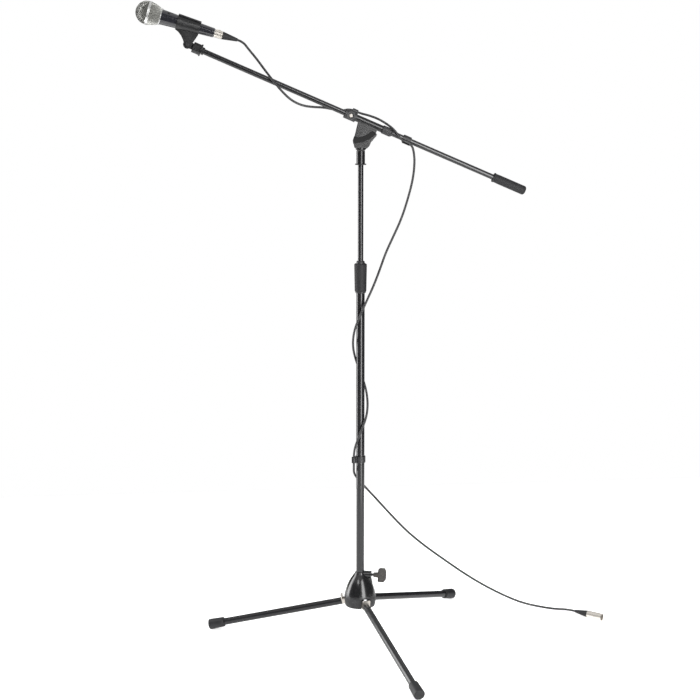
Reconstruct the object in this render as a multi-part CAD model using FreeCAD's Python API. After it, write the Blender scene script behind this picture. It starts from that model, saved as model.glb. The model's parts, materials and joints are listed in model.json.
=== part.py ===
import FreeCAD, Part
import math
import os
from FreeCAD import Placement, Rotation, Vector

os.makedirs("parts", exist_ok=True)

# Boom microphone stand. Millimetres, +Z up. The origin is on the mast's axis at floor level,
# +X points horizontally along the boom towards its rear grip.

# ---- driving dimensions -------------------------------------------------------------------
RUN = 0.06             # radial clearance of a running fit
GAP = 0.35             # clearance between separate bodies that only pass each other

# legs
LEG_AZIMUTHS = {"a": -76.3, "b": 43.7, "c": 163.7}
LEG_R = 8.3
LEG_WALL = 1.2
LEG_LENGTH = 331.0     # tube, from the bracket plate to the tube's far end
PIVOT_RADIUS = 27.0    # leg pins from the mast's axis
PIN_R = 2.5
FOOT_LIP_R = LEG_R + 3.3
FOOT_R = LEG_R + 4.2
FOOT_LENGTH = 38.0
FOOT_END = 4.5         # rubber beyond the tube's end
FOOT_ROUND = 2.4       # rounding of the foot's outer edge
FOOT_FLAT = 0.8        # depth of the flat worn where it meets the floor

# base housing
BELL_BOTTOM = 85.8
BELL_TOP = 165.8
BELL_RIM_R = 34.6
BELL_WIDE_R = 37.3
BELL_TOP_R = 11.2        # leaves 1.7 of wall round the mast
BELL_WALL = 3.0
PIN_Z = 96.0
PLATE_T = 2.4          # bracket end plate
PLATE_W = 2 * LEG_R + 1.0
PLATE_UP = 17.0        # plate above and below the leg's axis
PLATE_DOWN = 6.5
PLATE_X = 13.0         # plate's inner face from the pin, along the leg
EAR_T = 2.0

# base clamp
CLAMP_AZIMUTH = -16.3
CLAMP_Z = 160.0
BOSS_R = 8.4
BOSS_END = 27.0
SCREW_R = 2.9
KNOB_HUB_START = 32.0
KNOB_START = 41.0
KNOB_END = 62.0
KNOB_HALF = 17.0
KNOB_T = 8.0

# mast
MAST_R = 9.45
MAST_WALL = 1.2
MAST_BOTTOM = 88.5
MAST_TOP = 833.0
MAST_PLUG_H = 9.0
CLUTCH_LIP_Z = MAST_TOP - 9.5
CLUTCH_GRIP_Z = CLUTCH_LIP_Z + 3.5
CLUTCH_GRIP_TOP = CLUTCH_GRIP_Z + 63.0
CLUTCH_TOP = CLUTCH_GRIP_TOP + 6.0
CLUTCH_BODY_R = MAST_R + 1.75
GRIP_TOP_R = CLUTCH_BODY_R + 3.1
GRIP_BOTTOM_R = CLUTCH_BODY_R + 2.0
MAST_CLIP_Z = 437.0
MAST_CLIP_H = 14.0

# riser
RISER_R = 6.15
RISER_WALL = 1.0
RISER_BOTTOM = 327.0
RISER_TOP = 1136.0
BUSH_H = 24.0

# head
TILT_PIVOT = Vector(4.0, 0, 1163.0)
HEAD_SOCKET_Z = 1113.0
HEAD_SOCKET_R = RISER_R + 3.35
HEAD_NECK_Z = 1141.0
HEAD_BAND_Z = 1143.5
HEAD_BAND_TOP = 1154.0
RING_R = RISER_R + 6.25
RING_T = 2.4
CHEEK_R = 19.6
CHEEK_T = 8.0
TONGUE_T = 12.0
WASHER_T = 0.6
WASHER_R = 14.0
BOLT_R = 3.0
TILT_KNOB_Y = 16.4     # knob's inner face from the boom's plane
TILT_KNOB_HUB = 8.0
TILT_KNOB_WING = 13.0
TILT_KNOB_HALF = 17.0

# boom, in its own frame: u along the boom towards the rear grip, w square to it and upwards
BOOM_TILT = 23.1       # degrees, microphone end up
BOOM_W = 41.2          # boom's axis from the tilt pivot
BOOM_R = 6.0
BOOM_WALL = 1.0
BOOM_FRONT = -394.0
BOOM_REAR = 379.0
SLEEVE_R = BOOM_R + 1.75
SLEEVE_FRONT = -33.7
SLEEVE_REAR = 29.4
RING_FRONT = 30.0
RING_REAR = 54.0
RING_OUT_R = BOOM_R + 3.4
RIBS = 18
REAR_GRIP_START = 303.6
REAR_GRIP_END = 384.0
REAR_GRIP_R = BOOM_R + 4.2
WEIGHT_START = 318.0
BOOM_CLIP_U = 90.0
BOOM_CLIP_L = 18.0
SLEEVE_CLIP_START = -60.0
SLEEVE_CLIP_R = BOOM_R + 4.9
STUB_COLLAR_R = BOOM_R + 2.2
STUB_COLLAR_T = 5.5
THREAD_R = 4.75        # 3/8 inch thread
THREAD_L = 17.0

# microphone clip
CLIP_PIVOT_U = -432.9
SOCKET_R = 11.6
SOCKET_FLANGE_R = 13.2
SOCKET_FLANGE_T = 3.0
SOCKET_L = 20.0
INSERT_R = 6.4
LUG_R = 9.0
TONGUE_HALF = 3.4
CHEEK_HALF = 7.4
CLIP_BOLT_R = 2.2

# microphone, in its own frame: s along its axis from the ball's centre to the cable, t upwards
MIC_TILT = 16.4
MIC_PIVOT_S = 99.6     # the clip's pivot in that frame
MIC_PIVOT_T = -40.0
BALL_R = 25.3
GRILLE_WALL = 1.0
BAND_END = 5.5
BAND_PROUD = 0.35
GRILLE_END = 28.4
GRILLE_END_R = 17.2
COLLAR_T = 2.6
COLLAR_R = 17.9
HANDLE_START_R = 16.3
HANDLE_END = 148.6
HANDLE_END_R = 10.0
HANDLE_WALL = 1.5
CRADLE_START = MIC_PIVOT_S - 33.5
CRADLE_END = MIC_PIVOT_S + 17.0
CRADLE_WALL = 2.6
CRADLE_OPEN = 66.0     # degrees left open at the top
LIP_OUT = 4.6          # the cradle's lips beyond the handle
SWITCH_S = 47.0
PLUG_R = 8.6
PLUG_L = 18.0
BOOT_L = 34.0
BOOT_END_R = 3.4

# cable
CORD_R = 2.5
EYE_GAP = 0.4          # clearance of the cable in its clips
EYE_WALL = 2.0

# ---- helpers ------------------------------------------------------------------------------
X, Y, Z = Vector(1, 0, 0), Vector(0, 1, 0), Vector(0, 0, 1)
ORIGIN = Vector(0, 0, 0)


def save(name, *shapes):
    """Write one node, as one solid or a group of separate ones."""
    solids = [s for shape in shapes for s in shape.Solids]
    out = solids[0] if len(solids) == 1 else Part.makeCompound(solids)
    if not all(s.isValid() for s in solids):
        raise ValueError(name + " is not valid")
    out.exportStep("parts/" + name + ".step")
    return out


def rod(start, axis, radius, length):
    return Part.makeCylinder(radius, length, start, axis)


def pipe(start, axis, outer, inner, length):
    over = 1.0
    return rod(start, axis, outer, length).cut(
        rod(start - axis * over, axis, inner, length + 2 * over))


def cone(start, axis, r1, r2, length):
    if abs(r1 - r2) < 1e-9:
        return rod(start, axis, r1, length)
    return Part.makeCone(r1, r2, length, start, axis)


def turned(points, axis=Z):
    """A solid turned from an outline of (along the axis, radius) points.

    A point may be ("arc", along, radius, end_along, end_radius): an arc through the first
    pair to the second.
    """
    across = X if axis == Z else Z

    def at(along, radius):
        return axis * along + across * radius

    edges, last, first = [], None, None
    for p in points:
        if p[0] == "arc":
            mid, end = at(p[1], p[2]), at(p[3], p[4])
            edges.append(Part.Arc(last, mid, end).toShape())
        else:
            end = at(*p)
            if last is not None:
                edges.append(Part.LineSegment(last, end).toShape())
        last = end
        first = first or end
    if (last - first).Length > 1e-7:
        edges.append(Part.LineSegment(last, first).toShape())
    face = Part.Face(Part.Wire(edges))
    return face.revolve(ORIGIN, axis, 360)


def prism(points, y0, y1):
    """A solid from an outline of (x, z) points, between two y."""
    corners = [Vector(x, y0, z) for x, z in points]
    face = Part.Face(Part.makePolygon(corners + [corners[0]]))
    return face.extrude(Vector(0, y1 - y0, 0))


def block(x0, x1, y0, y1, z0, z1):
    return Part.makeBox(x1 - x0, y1 - y0, z1 - z0, Vector(x0, y0, z0))


def rounded(shape, radius, pick):
    """Fillet the edges for which pick(edge) is true."""
    edges = [e for e in shape.Edges if pick(e)]
    return shape.makeFillet(radius, edges)


def around_z(shape, degrees):
    out = shape.copy()
    out.rotate(ORIGIN, Z, degrees)
    return out


def placed(shape, placement):
    out = shape.copy()
    out.Placement = placement.multiply(out.Placement)
    return out


def on_boom(shape):
    """From the boom's frame to the stand's."""
    return placed(shape, Placement(TILT_PIVOT, Rotation(Y, BOOM_TILT)))


def boom_point(u, y, w):
    return TILT_PIVOT + Rotation(Y, BOOM_TILT).multVec(Vector(u, y, w))


CLIP_PIVOT = boom_point(CLIP_PIVOT_U, 0, BOOM_W)
MIC_ORIGIN = CLIP_PIVOT - Rotation(Y, MIC_TILT).multVec(Vector(MIC_PIVOT_S, 0, MIC_PIVOT_T))


def on_mic(shape):
    """From the microphone's frame to the stand's."""
    return placed(shape, Placement(MIC_ORIGIN, Rotation(Y, MIC_TILT)))


def handle_radius(s):
    start = GRILLE_END + COLLAR_T
    share = (s - start) / (HANDLE_END - start)
    return HANDLE_START_R + share * (HANDLE_END_R - HANDLE_START_R)


# ---- base ---------------------------------------------------------------------------------
SLOT_HALF = PLATE_W / 2 + 0.9
TUBE_X = PLATE_X + PLATE_T
FOOT_END_X = TUBE_X + LEG_LENGTH + FOOT_END
# the slope below level at which the foot's flat lies on the floor
foot_reach = FOOT_END_X - FOOT_ROUND
core_r = FOOT_R - FOOT_ROUND
LEG_SLOPE = math.degrees(math.asin((PIN_Z + FOOT_FLAT - FOOT_ROUND) / math.hypot(foot_reach, core_r))
                         - math.atan2(core_r, foot_reach))
print("legs slope %.2f degrees below level" % LEG_SLOPE)


def on_leg(shape, azimuth):
    """From a leg's frame (x outwards along its axis from the pin, z square to it) to the stand's."""
    tilt = Placement(Vector(PIVOT_RADIUS, 0, PIN_Z), Rotation(Y, LEG_SLOPE))
    return around_z(placed(shape, tilt), azimuth)


def base_housing():
    shoulder = 112.0
    outer = turned([
        (BELL_BOTTOM, 0), (BELL_BOTTOM, BELL_RIM_R),
        ("arc", 97.0, BELL_WIDE_R - 0.7, 107.0, BELL_WIDE_R),
        ("arc", 138.0, 28.4, BELL_TOP - 4.5, BELL_TOP_R + 2.4),
        (BELL_TOP, BELL_TOP_R), (BELL_TOP, 0)])
    roof = 118.0
    hollow = turned([
        (BELL_BOTTOM - 1, 0), (BELL_BOTTOM - 1, BELL_RIM_R - BELL_WALL),
        ("arc", 97.0, BELL_WIDE_R - BELL_WALL - 0.9, shoulder - 4, BELL_WIDE_R - BELL_WALL - 0.4),
        (roof, BELL_WIDE_R - BELL_WALL - 4), (roof, 0)])
    # three pairs of walls carry the leg pins inside the hollow
    shell = outer.cut(hollow)
    wall_in = SLOT_HALF
    for azimuth in LEG_AZIMUTHS.values():
        for side in (-1, 1):
            near, far = sorted((side * wall_in, side * (wall_in + 3.6)))
            web = block(17.0, BELL_RIM_R - 1.2, near, far, PIN_Z - 8.5, roof + 1)
            shell = shell.fuse(around_z(web, azimuth))
    # boss of the clamp screw, with a rib down to the bell
    boss = rod(Vector(0, 0, CLAMP_Z), X, BOSS_R, BOSS_END)
    rib = prism([(8.0, CLAMP_Z), (BOSS_END - 1.5, CLAMP_Z - 2), (BOSS_END + 2.5, 140.0), (8.0, 140.0)],
                -3.2, 3.2)
    shell = shell.fuse([around_z(boss, CLAMP_AZIMUTH), around_z(rib, CLAMP_AZIMUTH)])
    # slots for the legs, bore for the mast, hole for the screw and its shoe
    for azimuth in LEG_AZIMUTHS.values():
        slot = block(PIVOT_RADIUS - 9.5, BELL_WIDE_R + 6, -SLOT_HALF, SLOT_HALF,
                     BELL_BOTTOM - 2, PIN_Z + 13.5)
        shell = shell.cut(around_z(slot, azimuth))
        pin = rod(Vector(PIVOT_RADIUS, -SLOT_HALF - 3.0, PIN_Z), Y, PIN_R, 2 * SLOT_HALF + 6.0)
        shell = shell.cut(around_z(pin, azimuth))
    bore = rod(Vector(0, 0, BELL_BOTTOM - 2), Z, MAST_R + RUN, CLAMP_Z + BOSS_R - BELL_BOTTOM + 4)
    screw = rod(Vector(0, 0, CLAMP_Z), X, SCREW_R + RUN, BOSS_END + 2)
    return shell.cut(bore).cut(around_z(screw, CLAMP_AZIMUTH))


save("base_housing", base_housing())
save("leg_pivot_pins", *[
    around_z(rod(Vector(PIVOT_RADIUS, -SLOT_HALF - 3.0, PIN_Z), Y, PIN_R, 2 * SLOT_HALF + 6.0), a)
    for a in LEG_AZIMUTHS.values()])

SHOE_END = MAST_R + 3.5
shoe = rod(Vector(MAST_R - 2, 0, CLAMP_Z), X, SCREW_R, SHOE_END - MAST_R + 2)
shoe = shoe.cut(rod(Vector(0, 0, CLAMP_Z - 9), Z, MAST_R + 0.02, 18))
save("base_clamp_shoe", around_z(shoe, CLAMP_AZIMUTH))

# clamp screw with its moulded wing knob
screw_shape = rod(Vector(SHOE_END + 0.05, 0, CLAMP_Z), X, SCREW_R, KNOB_START + 9 - SHOE_END - 0.05)
save("base_knob_screw", around_z(screw_shape, CLAMP_AZIMUTH))


def wing_knob(hub_start, start, end, half, thick, hub_r, screw_r, screw_end):
    """A wing knob about the X axis: a hub that tapers up to a flat wing with round ends."""
    hub = cone(Vector(hub_start, 0, 0), X, hub_r, hub_r * 1.12, start - hub_start + 3)
    length = end - start
    outline = [(start + 1, -half * 0.62), (start, -half * 0.93), (start + length * 0.22, -half),
               (end - length * 0.3, -half * 0.98), (end - 1.2, -half * 0.6), (end, 0),
               (end - 0.6, half * 0.62), (end - length * 0.16, half * 0.99),
               (start + length * 0.34, half), (start + length * 0.12, half * 0.86),
               (start + 1, half * 0.4)]
    wing = prism(outline, -thick / 2, thick / 2)
    wing = rounded(wing, min(2.2, thick * 0.28),
                   lambda e: abs(abs(e.CenterOfMass.y) - thick / 2) < 1e-6)
    knob = hub.fuse(wing)
    return knob.cut(rod(Vector(hub_start - 1, 0, 0), X, screw_r, screw_end - hub_start + 1))


base_wing = wing_knob(KNOB_HUB_START, KNOB_START, KNOB_END, KNOB_HALF, KNOB_T, 5.6, SCREW_R,
                      KNOB_START + 9)
base_wing.translate(Vector(0, 0, CLAMP_Z))
save("base_knob", around_z(base_wing, CLAMP_AZIMUTH))

# ---- legs ---------------------------------------------------------------------------------
def leg_bracket():
    """An end plate outside the housing, a U of two ears inside it round the pin, and a spigot."""
    half = PLATE_W / 2
    plate = block(PLATE_X, PLATE_X + PLATE_T, -half, half, -PLATE_DOWN, PLATE_UP)
    plate = rounded(plate, 3.0, lambda e: abs(e.CenterOfMass.z - PLATE_UP) < 1e-6
                    and abs(abs(e.CenterOfMass.y) - half) < 1e-6 or
                    abs(e.CenterOfMass.z + PLATE_DOWN) < 1e-6
                    and abs(abs(e.CenterOfMass.y) - half) < 1e-6)
    bracket = plate
    for side in (-1, 1):
        near, far = sorted((side * half, side * (half - EAR_T)))
        ear = block(0, PLATE_X + 1, near, far, -6.0, 6.0)
        ear = ear.fuse(rod(Vector(0, near, 0), Y, 6.0, EAR_T))
        bracket = bracket.fuse(ear)
    spigot = rod(Vector(PLATE_X + PLATE_T - 0.5, 0, 0), X, LEG_R - LEG_WALL, 26.5)
    bracket = bracket.fuse(spigot).cut(rod(Vector(PLATE_X - 1, 0, 0), X, 4.0, 30))
    return bracket.cut(rod(Vector(0, -half - 1, 0), Y, PIN_R + RUN, PLATE_W + 2))


def leg_tube():
    return pipe(Vector(TUBE_X, 0, 0), X, LEG_R, LEG_R - LEG_WALL, LEG_LENGTH)


def leg_foot():
    """A rubber cap: a round-shouldered cone with a flat worn level where it meets the floor."""
    start = FOOT_END_X - FOOT_LENGTH
    cap = turned([
        (start, 0), (start, FOOT_LIP_R - 1.2), ("arc", start + 1.6, FOOT_LIP_R - 0.2, start + 4.5, FOOT_LIP_R),
        (FOOT_END_X - 9.0, FOOT_R), (FOOT_END_X - FOOT_ROUND, FOOT_R),
        ("arc", FOOT_END_X - 0.3 * FOOT_ROUND, FOOT_R - 0.3 * FOOT_ROUND,
         FOOT_END_X, FOOT_R - FOOT_ROUND), (FOOT_END_X, 0)], X)
    return cap.cut(rod(Vector(start - 1, 0, 0), X, LEG_R, FOOT_LENGTH - FOOT_END + 1))


for leg, azimuth in LEG_AZIMUTHS.items():
    save("leg_bracket_" + leg, on_leg(leg_bracket(), azimuth))
    save("leg_tube_" + leg, on_leg(leg_tube(), azimuth))
    foot = on_leg(leg_foot(), azimuth)
    below = Part.makeBox(1200, 1200, 60, Vector(-600, -600, -60))
    save("leg_foot_" + leg, foot.cut(below))
foot_box = on_leg(leg_foot(), 0).optimalBoundingBox()
print("foot: lowest %.2f, reaches %.1f from the mast's axis" % (foot_box.ZMin, foot_box.XMax))

# ---- mast ---------------------------------------------------------------------------------
MAST_BORE = MAST_R - MAST_WALL
save("mast_tube", pipe(Vector(0, 0, MAST_BOTTOM), Z, MAST_R, MAST_BORE, MAST_TOP - MAST_BOTTOM))
plug = rod(Vector(0, 0, MAST_BOTTOM), Z, MAST_BORE, MAST_PLUG_H)
plug = plug.fuse(rod(Vector(0, 0, MAST_BOTTOM - 2.2), Z, MAST_R, 2.2))
save("mast_bottom_plug", plug.removeSplitter())

# clutch: a collar fixed on the mast's top, in which the riser runs, and a grip that turns on it
lip_r = CLUTCH_BODY_R + 0.9
nose_r = RISER_R + 3.4
clutch = turned([
    (CLUTCH_LIP_Z, 0), (CLUTCH_LIP_Z, lip_r - 1.2), (CLUTCH_LIP_Z + 1.2, lip_r),
    (CLUTCH_GRIP_Z - GAP, lip_r), (CLUTCH_GRIP_Z - GAP, CLUTCH_BODY_R),
    (CLUTCH_GRIP_TOP + GAP, CLUTCH_BODY_R), (CLUTCH_GRIP_TOP + GAP, nose_r),
    (CLUTCH_TOP - 1.0, nose_r - 0.4), (CLUTCH_TOP, nose_r - 1.4), (CLUTCH_TOP, 0)])
clutch = clutch.cut(rod(Vector(0, 0, CLUTCH_LIP_Z - 1), Z, MAST_R, MAST_TOP - CLUTCH_LIP_Z + 1))
clutch = clutch.cut(rod(Vector(0, 0, MAST_TOP - 1), Z, RISER_R + RUN, CLUTCH_TOP - MAST_TOP + 2))
save("clutch_collar", clutch)

grip = turned([
    (CLUTCH_GRIP_Z, 0), (CLUTCH_GRIP_Z, GRIP_BOTTOM_R - 0.8), (CLUTCH_GRIP_Z + 1.2, GRIP_BOTTOM_R),
    (CLUTCH_GRIP_TOP - 2.0, GRIP_TOP_R), (CLUTCH_GRIP_TOP, GRIP_TOP_R - 1.6), (CLUTCH_GRIP_TOP, 0)])
grip = grip.cut(rod(Vector(0, 0, CLUTCH_GRIP_Z - 1), Z, CLUTCH_BODY_R + RUN,
                    CLUTCH_GRIP_TOP - CLUTCH_GRIP_Z + 2))
save("clutch_grip", grip)


def cable_clip(inner, outer, half, eye_at, start, axis_length, eye_start=None):
    """A plastic clip about the X axis: a ring on the tube and an open eye for the cable.

    eye_at is the eye's (y, z) centre; the eye opens away from the tube. It runs from eye_start,
    or the ring's start, to the ring's end.
    """
    ring = pipe(Vector(start, 0, 0), X, outer, inner, axis_length)
    end = start + axis_length
    if eye_start is None:
        eye_start = start
    centre = Vector(eye_start, eye_at[0], eye_at[1])
    eye_out = CORD_R + EYE_GAP + EYE_WALL
    eye = rod(centre, X, eye_out, end - eye_start)
    reach = math.hypot(*eye_at)
    bridge = block(eye_start, end, -half, half, inner + 0.6, reach)
    angle = math.degrees(math.atan2(-eye_at[0], eye_at[1]))
    bridge.rotate(ORIGIN, X, angle)
    body = ring.fuse([eye, bridge]).cut(
        rod(Vector(start - 1, 0, 0), X, inner, axis_length + 2))
    mouth = block(start - 1, start + axis_length + 1, -CORD_R * 0.72, CORD_R * 0.72,
                  reach, reach + eye_out + 2)
    mouth.rotate(ORIGIN, X, angle)
    hole = rod(Vector(start - 1, eye_at[0], eye_at[1]), X, CORD_R + EYE_GAP, axis_length + 2)
    return body.cut(hole).cut(mouth)


# the mast's clip, its eye on the side away from the boom's rear grip
MAST_EYE = MAST_R + 8.15
mast_clip = cable_clip(MAST_R, MAST_R + 2.4, 3.0, (0, MAST_EYE), 0, MAST_CLIP_H)
mast_clip.rotate(ORIGIN, Y, -90)
mast_clip.rotate(ORIGIN, Z, 26.0)
mast_clip.translate(Vector(0, 0, MAST_CLIP_Z - MAST_CLIP_H / 2))
save("mast_cable_clip", mast_clip)

# ---- riser --------------------------------------------------------------------------------
save("riser_guide_bush", pipe(Vector(0, 0, RISER_BOTTOM + 2.5), Z, MAST_BORE - RUN,
                              RISER_R + RUN, BUSH_H))
riser = pipe(Vector(0, 0, RISER_BOTTOM), Z, RISER_R, RISER_R - RISER_WALL, RISER_TOP - RISER_BOTTOM)
# the tube is rolled out below and above the bush to keep it in place
for z in (RISER_BOTTOM, RISER_BOTTOM + 2.5 + BUSH_H + 0.2):
    riser = riser.fuse(pipe(Vector(0, 0, z), Z, RISER_R + 0.43 * (MAST_BORE - RISER_R), RISER_R - 0.3, 2.2))
save("riser_tube", riser.removeSplitter())

# ---- head ---------------------------------------------------------------------------------
save("head_ring", pipe(Vector(0, 0, HEAD_SOCKET_Z - RING_T), Z, RING_R, RISER_R, RING_T))
SLOT = TONGUE_T / 2 + WASHER_T


def head_post():
    """The die-cast head: a socket on the riser, a band, and two cheeks round the tilt pivot."""
    px, pz = TILT_PIVOT.x, TILT_PIVOT.z
    neck = turned([
        (HEAD_SOCKET_Z, 0), (HEAD_SOCKET_Z, HEAD_SOCKET_R), (HEAD_NECK_Z, HEAD_SOCKET_R),
        (HEAD_BAND_Z, HEAD_SOCKET_R + 2.0), (HEAD_BAND_Z + 0.8, HEAD_SOCKET_R + 2.8),
        (HEAD_BAND_TOP - 3.2, HEAD_SOCKET_R + 3.8),
        (HEAD_BAND_TOP, HEAD_SOCKET_R + 2.8), (HEAD_BAND_TOP, 0)])
    # rear cheek: a round plate that runs down into the neck
    rear_top = SLOT + CHEEK_T
    rear = rod(Vector(px, SLOT, pz), Y, CHEEK_R, CHEEK_T)
    rear = rear.fuse(prism([(-12.4, HEAD_BAND_TOP - 6), (12.4, HEAD_BAND_TOP - 6),
                            (px + CHEEK_R * 0.9, pz - CHEEK_R * 0.42),
                            (px - CHEEK_R * 0.97, pz - CHEEK_R * 0.2)], SLOT, rear_top))
    # front cheek: lower on the left, with a horn that rises to the right
    front = prism([(-12.2, HEAD_BAND_TOP - 6), (-17.4, pz - 5.5), (-18.6, pz + 1.5), (-16.6, pz + 6.5),
                   (-10.0, pz + 8.5), (2.0, pz + 10.0), (12.0, pz + 13.5), (21.5, pz + 20.5),
                   (26.0, pz + 22.0), (34.5, pz + 15.0), (33.2, pz + 11.0), (24.0, pz + 1.0),
                   (17.2, pz - 7.0), (12.6, HEAD_BAND_TOP - 6)], -SLOT - 9.0, -SLOT)
    # its upper side falls away towards the front
    wedge = Part.makeLoft([
        Part.makePolygon([Vector(x, -SLOT - 9.6, z) for x, z in
                          [(-40, pz - 1.0), (-12.0, pz - 5.5), (4.0, pz - 3.0), (18.0, pz + 3.5),
                           (31.5, pz + 13.0), (40.0, pz + 34.0), (-40, pz + 40), (-40, pz - 1.0)]]),
        Part.makePolygon([Vector(x, -SLOT + 0.01, z) for x, z in
                          [(-40, pz + 12.0), (-12.0, pz + 9.0), (4.0, pz + 11.0), (18.0, pz + 18.5),
                           (25.5, pz + 23.0), (40.0, pz + 36.0), (-40, pz + 42), (-40, pz + 12.0)]])],
        True, True)
    front = front.cut(wedge)
    body = neck.fuse([rear, front])
    # the neck is cut for the tongue, and bored for the riser and the bolt
    body = body.cut(block(-40, 60, -SLOT, SLOT, pz - CHEEK_R - 2.2, pz + 60))
    body = body.cut(rod(Vector(0, 0, HEAD_SOCKET_Z - 1), Z, RISER_R, RISER_TOP - HEAD_SOCKET_Z + 1))
    body = body.cut(rod(Vector(px, -SLOT - 5.5, pz), Y, BOLT_R, 40))
    return body


save("head_post", head_post())


def ring_at(u0, length, outer, inner):
    return pipe(Vector(u0, 0, BOOM_W), X, outer, inner, length)


def boom_clamp():
    """The sleeve that holds the boom, with the flat tongue that turns in the head."""
    sleeve = rod(Vector(SLEEVE_FRONT, 0, BOOM_W), X, SLEEVE_R, SLEEVE_REAR - SLEEVE_FRONT)
    top = BOOM_W - SLEEVE_R + 2.6
    tongue = prism([(-25.5, top), (12.5 + 7.5, top), (20.6, 14.0), (19.5, 8.0), (-20.0, 3.0)],
                   -TONGUE_T / 2, TONGUE_T / 2)
    tongue = tongue.fuse(rod(Vector(0, -TONGUE_T / 2, 0), Y, CHEEK_R - 1.5, TONGUE_T))
    body = sleeve.fuse(tongue)
    body = body.cut(rod(Vector(SLEEVE_FRONT - 1, 0, BOOM_W), X, BOOM_R + RUN,
                        SLEEVE_REAR - SLEEVE_FRONT + 2))
    return body.cut(rod(Vector(0, -TONGUE_T, 0), Y, BOLT_R + RUN, 2 * TONGUE_T))


save("boom_clamp", on_boom(boom_clamp()))
save("tilt_washers", *[
    on_boom(pipe(Vector(0, y, 0), Y, WASHER_R, BOLT_R + RUN, WASHER_T - 0.02))
    for y in (-SLOT + 0.02, TONGUE_T / 2)])

bolt_start = -SLOT - 5.5
bolt = rod(Vector(TILT_PIVOT.x, bolt_start, TILT_PIVOT.z), Y, BOLT_R - RUN,
           TILT_KNOB_Y + TILT_KNOB_HUB - bolt_start)
save("tilt_bolt", bolt)
tilt_wing = wing_knob(TILT_KNOB_Y, TILT_KNOB_Y + TILT_KNOB_HUB, TILT_KNOB_Y + TILT_KNOB_HUB +
                      TILT_KNOB_WING, TILT_KNOB_HALF, 8.0, 6.0, BOLT_R - RUN,
                      TILT_KNOB_Y + TILT_KNOB_HUB)
tilt_wing.rotate(ORIGIN, Z, 90)
tilt_wing.translate(TILT_PIVOT)
save("tilt_knob", tilt_wing)

# ---- boom ---------------------------------------------------------------------------------
save("boom_tube", on_boom(ring_at(BOOM_FRONT, BOOM_REAR - BOOM_FRONT, BOOM_R, BOOM_R - BOOM_WALL)))


def boom_ring():
    """The ring that tightens the sleeve on the boom, ribbed for the fingers."""
    length = RING_REAR - RING_FRONT
    body = turned([(0, 0), (0, RING_OUT_R - 1.4), (1.4, RING_OUT_R), (length - 3.5, RING_OUT_R),
                   (length, RING_OUT_R - 1.9), (length, 0)], X)
    body.translate(Vector(RING_FRONT, 0, BOOM_W))
    for i in range(RIBS):
        groove = rod(Vector(RING_FRONT + 3.0, RING_OUT_R + 0.5, BOOM_W), X, 1.0, length - 8.0)
        groove.rotate(Vector(0, 0, BOOM_W), X, 360.0 * i / RIBS)
        body = body.cut(groove)
    return body.cut(rod(Vector(RING_FRONT - 1, 0, BOOM_W), X, BOOM_R + RUN, length + 2))


save("boom_clutch_ring", on_boom(boom_ring()))

rear = turned([
    (REAR_GRIP_START, 0), (REAR_GRIP_START, REAR_GRIP_R - 1.2), (REAR_GRIP_START + 1.0, REAR_GRIP_R + 0.6),
    (REAR_GRIP_START + 3.2, REAR_GRIP_R + 0.6), (REAR_GRIP_START + 4.2, REAR_GRIP_R - 0.5),
    (REAR_GRIP_START + 14.0, REAR_GRIP_R), (REAR_GRIP_END - 5.0, REAR_GRIP_R),
    ("arc", REAR_GRIP_END - 1.4, REAR_GRIP_R - 1.5, REAR_GRIP_END, REAR_GRIP_R - 5.0),
    (REAR_GRIP_END, 0)], X)
rear = rear.cut(rod(Vector(REAR_GRIP_START - 1, 0, 0), X, BOOM_R, BOOM_REAR - REAR_GRIP_START + 1))
rear.translate(Vector(0, 0, BOOM_W))
save("rear_grip", on_boom(rear))
save("boom_counterweight", on_boom(rod(Vector(WEIGHT_START, 0, BOOM_W), X, BOOM_R - BOOM_WALL,
                                       BOOM_REAR - WEIGHT_START)))
COLLAR_START = BOOM_FRONT - STUB_COLLAR_T
stub = rod(Vector(COLLAR_START, 0, BOOM_W), X, STUB_COLLAR_R, STUB_COLLAR_T)
stub = stub.fuse(rod(Vector(BOOM_FRONT - 0.5, 0, BOOM_W), X, BOOM_R - BOOM_WALL, 26.5))
stub = stub.fuse(rod(Vector(COLLAR_START - THREAD_L, 0, BOOM_W), X, THREAD_R, THREAD_L + 1))
save("boom_thread_stub", on_boom(stub.removeSplitter()))

# clip at the sleeve's front end: a block round the boom with a screwed front boss and an eye
clip_len = SLEEVE_FRONT - SLEEVE_CLIP_START
EYE_U = SLEEVE_FRONT - 6.3     # the middle of its eye, which is shorter than the clip
SLEEVE_EYE = (SLEEVE_CLIP_R - 3.5, SLEEVE_CLIP_R + 1.7)
sleeve_clip = cable_clip(BOOM_R + RUN, SLEEVE_CLIP_R, 4.0, SLEEVE_EYE, SLEEVE_CLIP_START, clip_len,
                         2 * EYE_U - SLEEVE_FRONT)
BOSS_U = SLEEVE_CLIP_START + clip_len * 0.52
BOSS_FACE = SLEEVE_CLIP_R + 1.7
front_boss = rod(Vector(BOSS_U, -BOSS_FACE, -0.6), Y, 9.3, BOSS_FACE)
recess = rod(Vector(BOSS_U, -BOSS_FACE - 1, -0.6), Y, 7.0, 3.4)
sleeve_clip = sleeve_clip.fuse(front_boss).cut(recess)
sleeve_clip = sleeve_clip.cut(rod(Vector(SLEEVE_CLIP_START - 1, 0, 0), X, BOOM_R + RUN, clip_len + 2))
sleeve_clip.translate(Vector(0, 0, BOOM_W))
save("sleeve_cable_clip", on_boom(sleeve_clip))
head = rod(Vector(BOSS_U, -BOSS_FACE + 0.3, BOOM_W - 0.6), Y, 4.2, 2.1)
head = rounded(head, 0.9, lambda e: abs(e.CenterOfMass.y + BOSS_FACE - 0.3) < 1e-6)
head = head.cut(block(BOSS_U - 5, BOSS_U + 5, -BOSS_FACE, -BOSS_FACE + 1.1, BOOM_W - 1.05, BOOM_W - 0.15))
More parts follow.
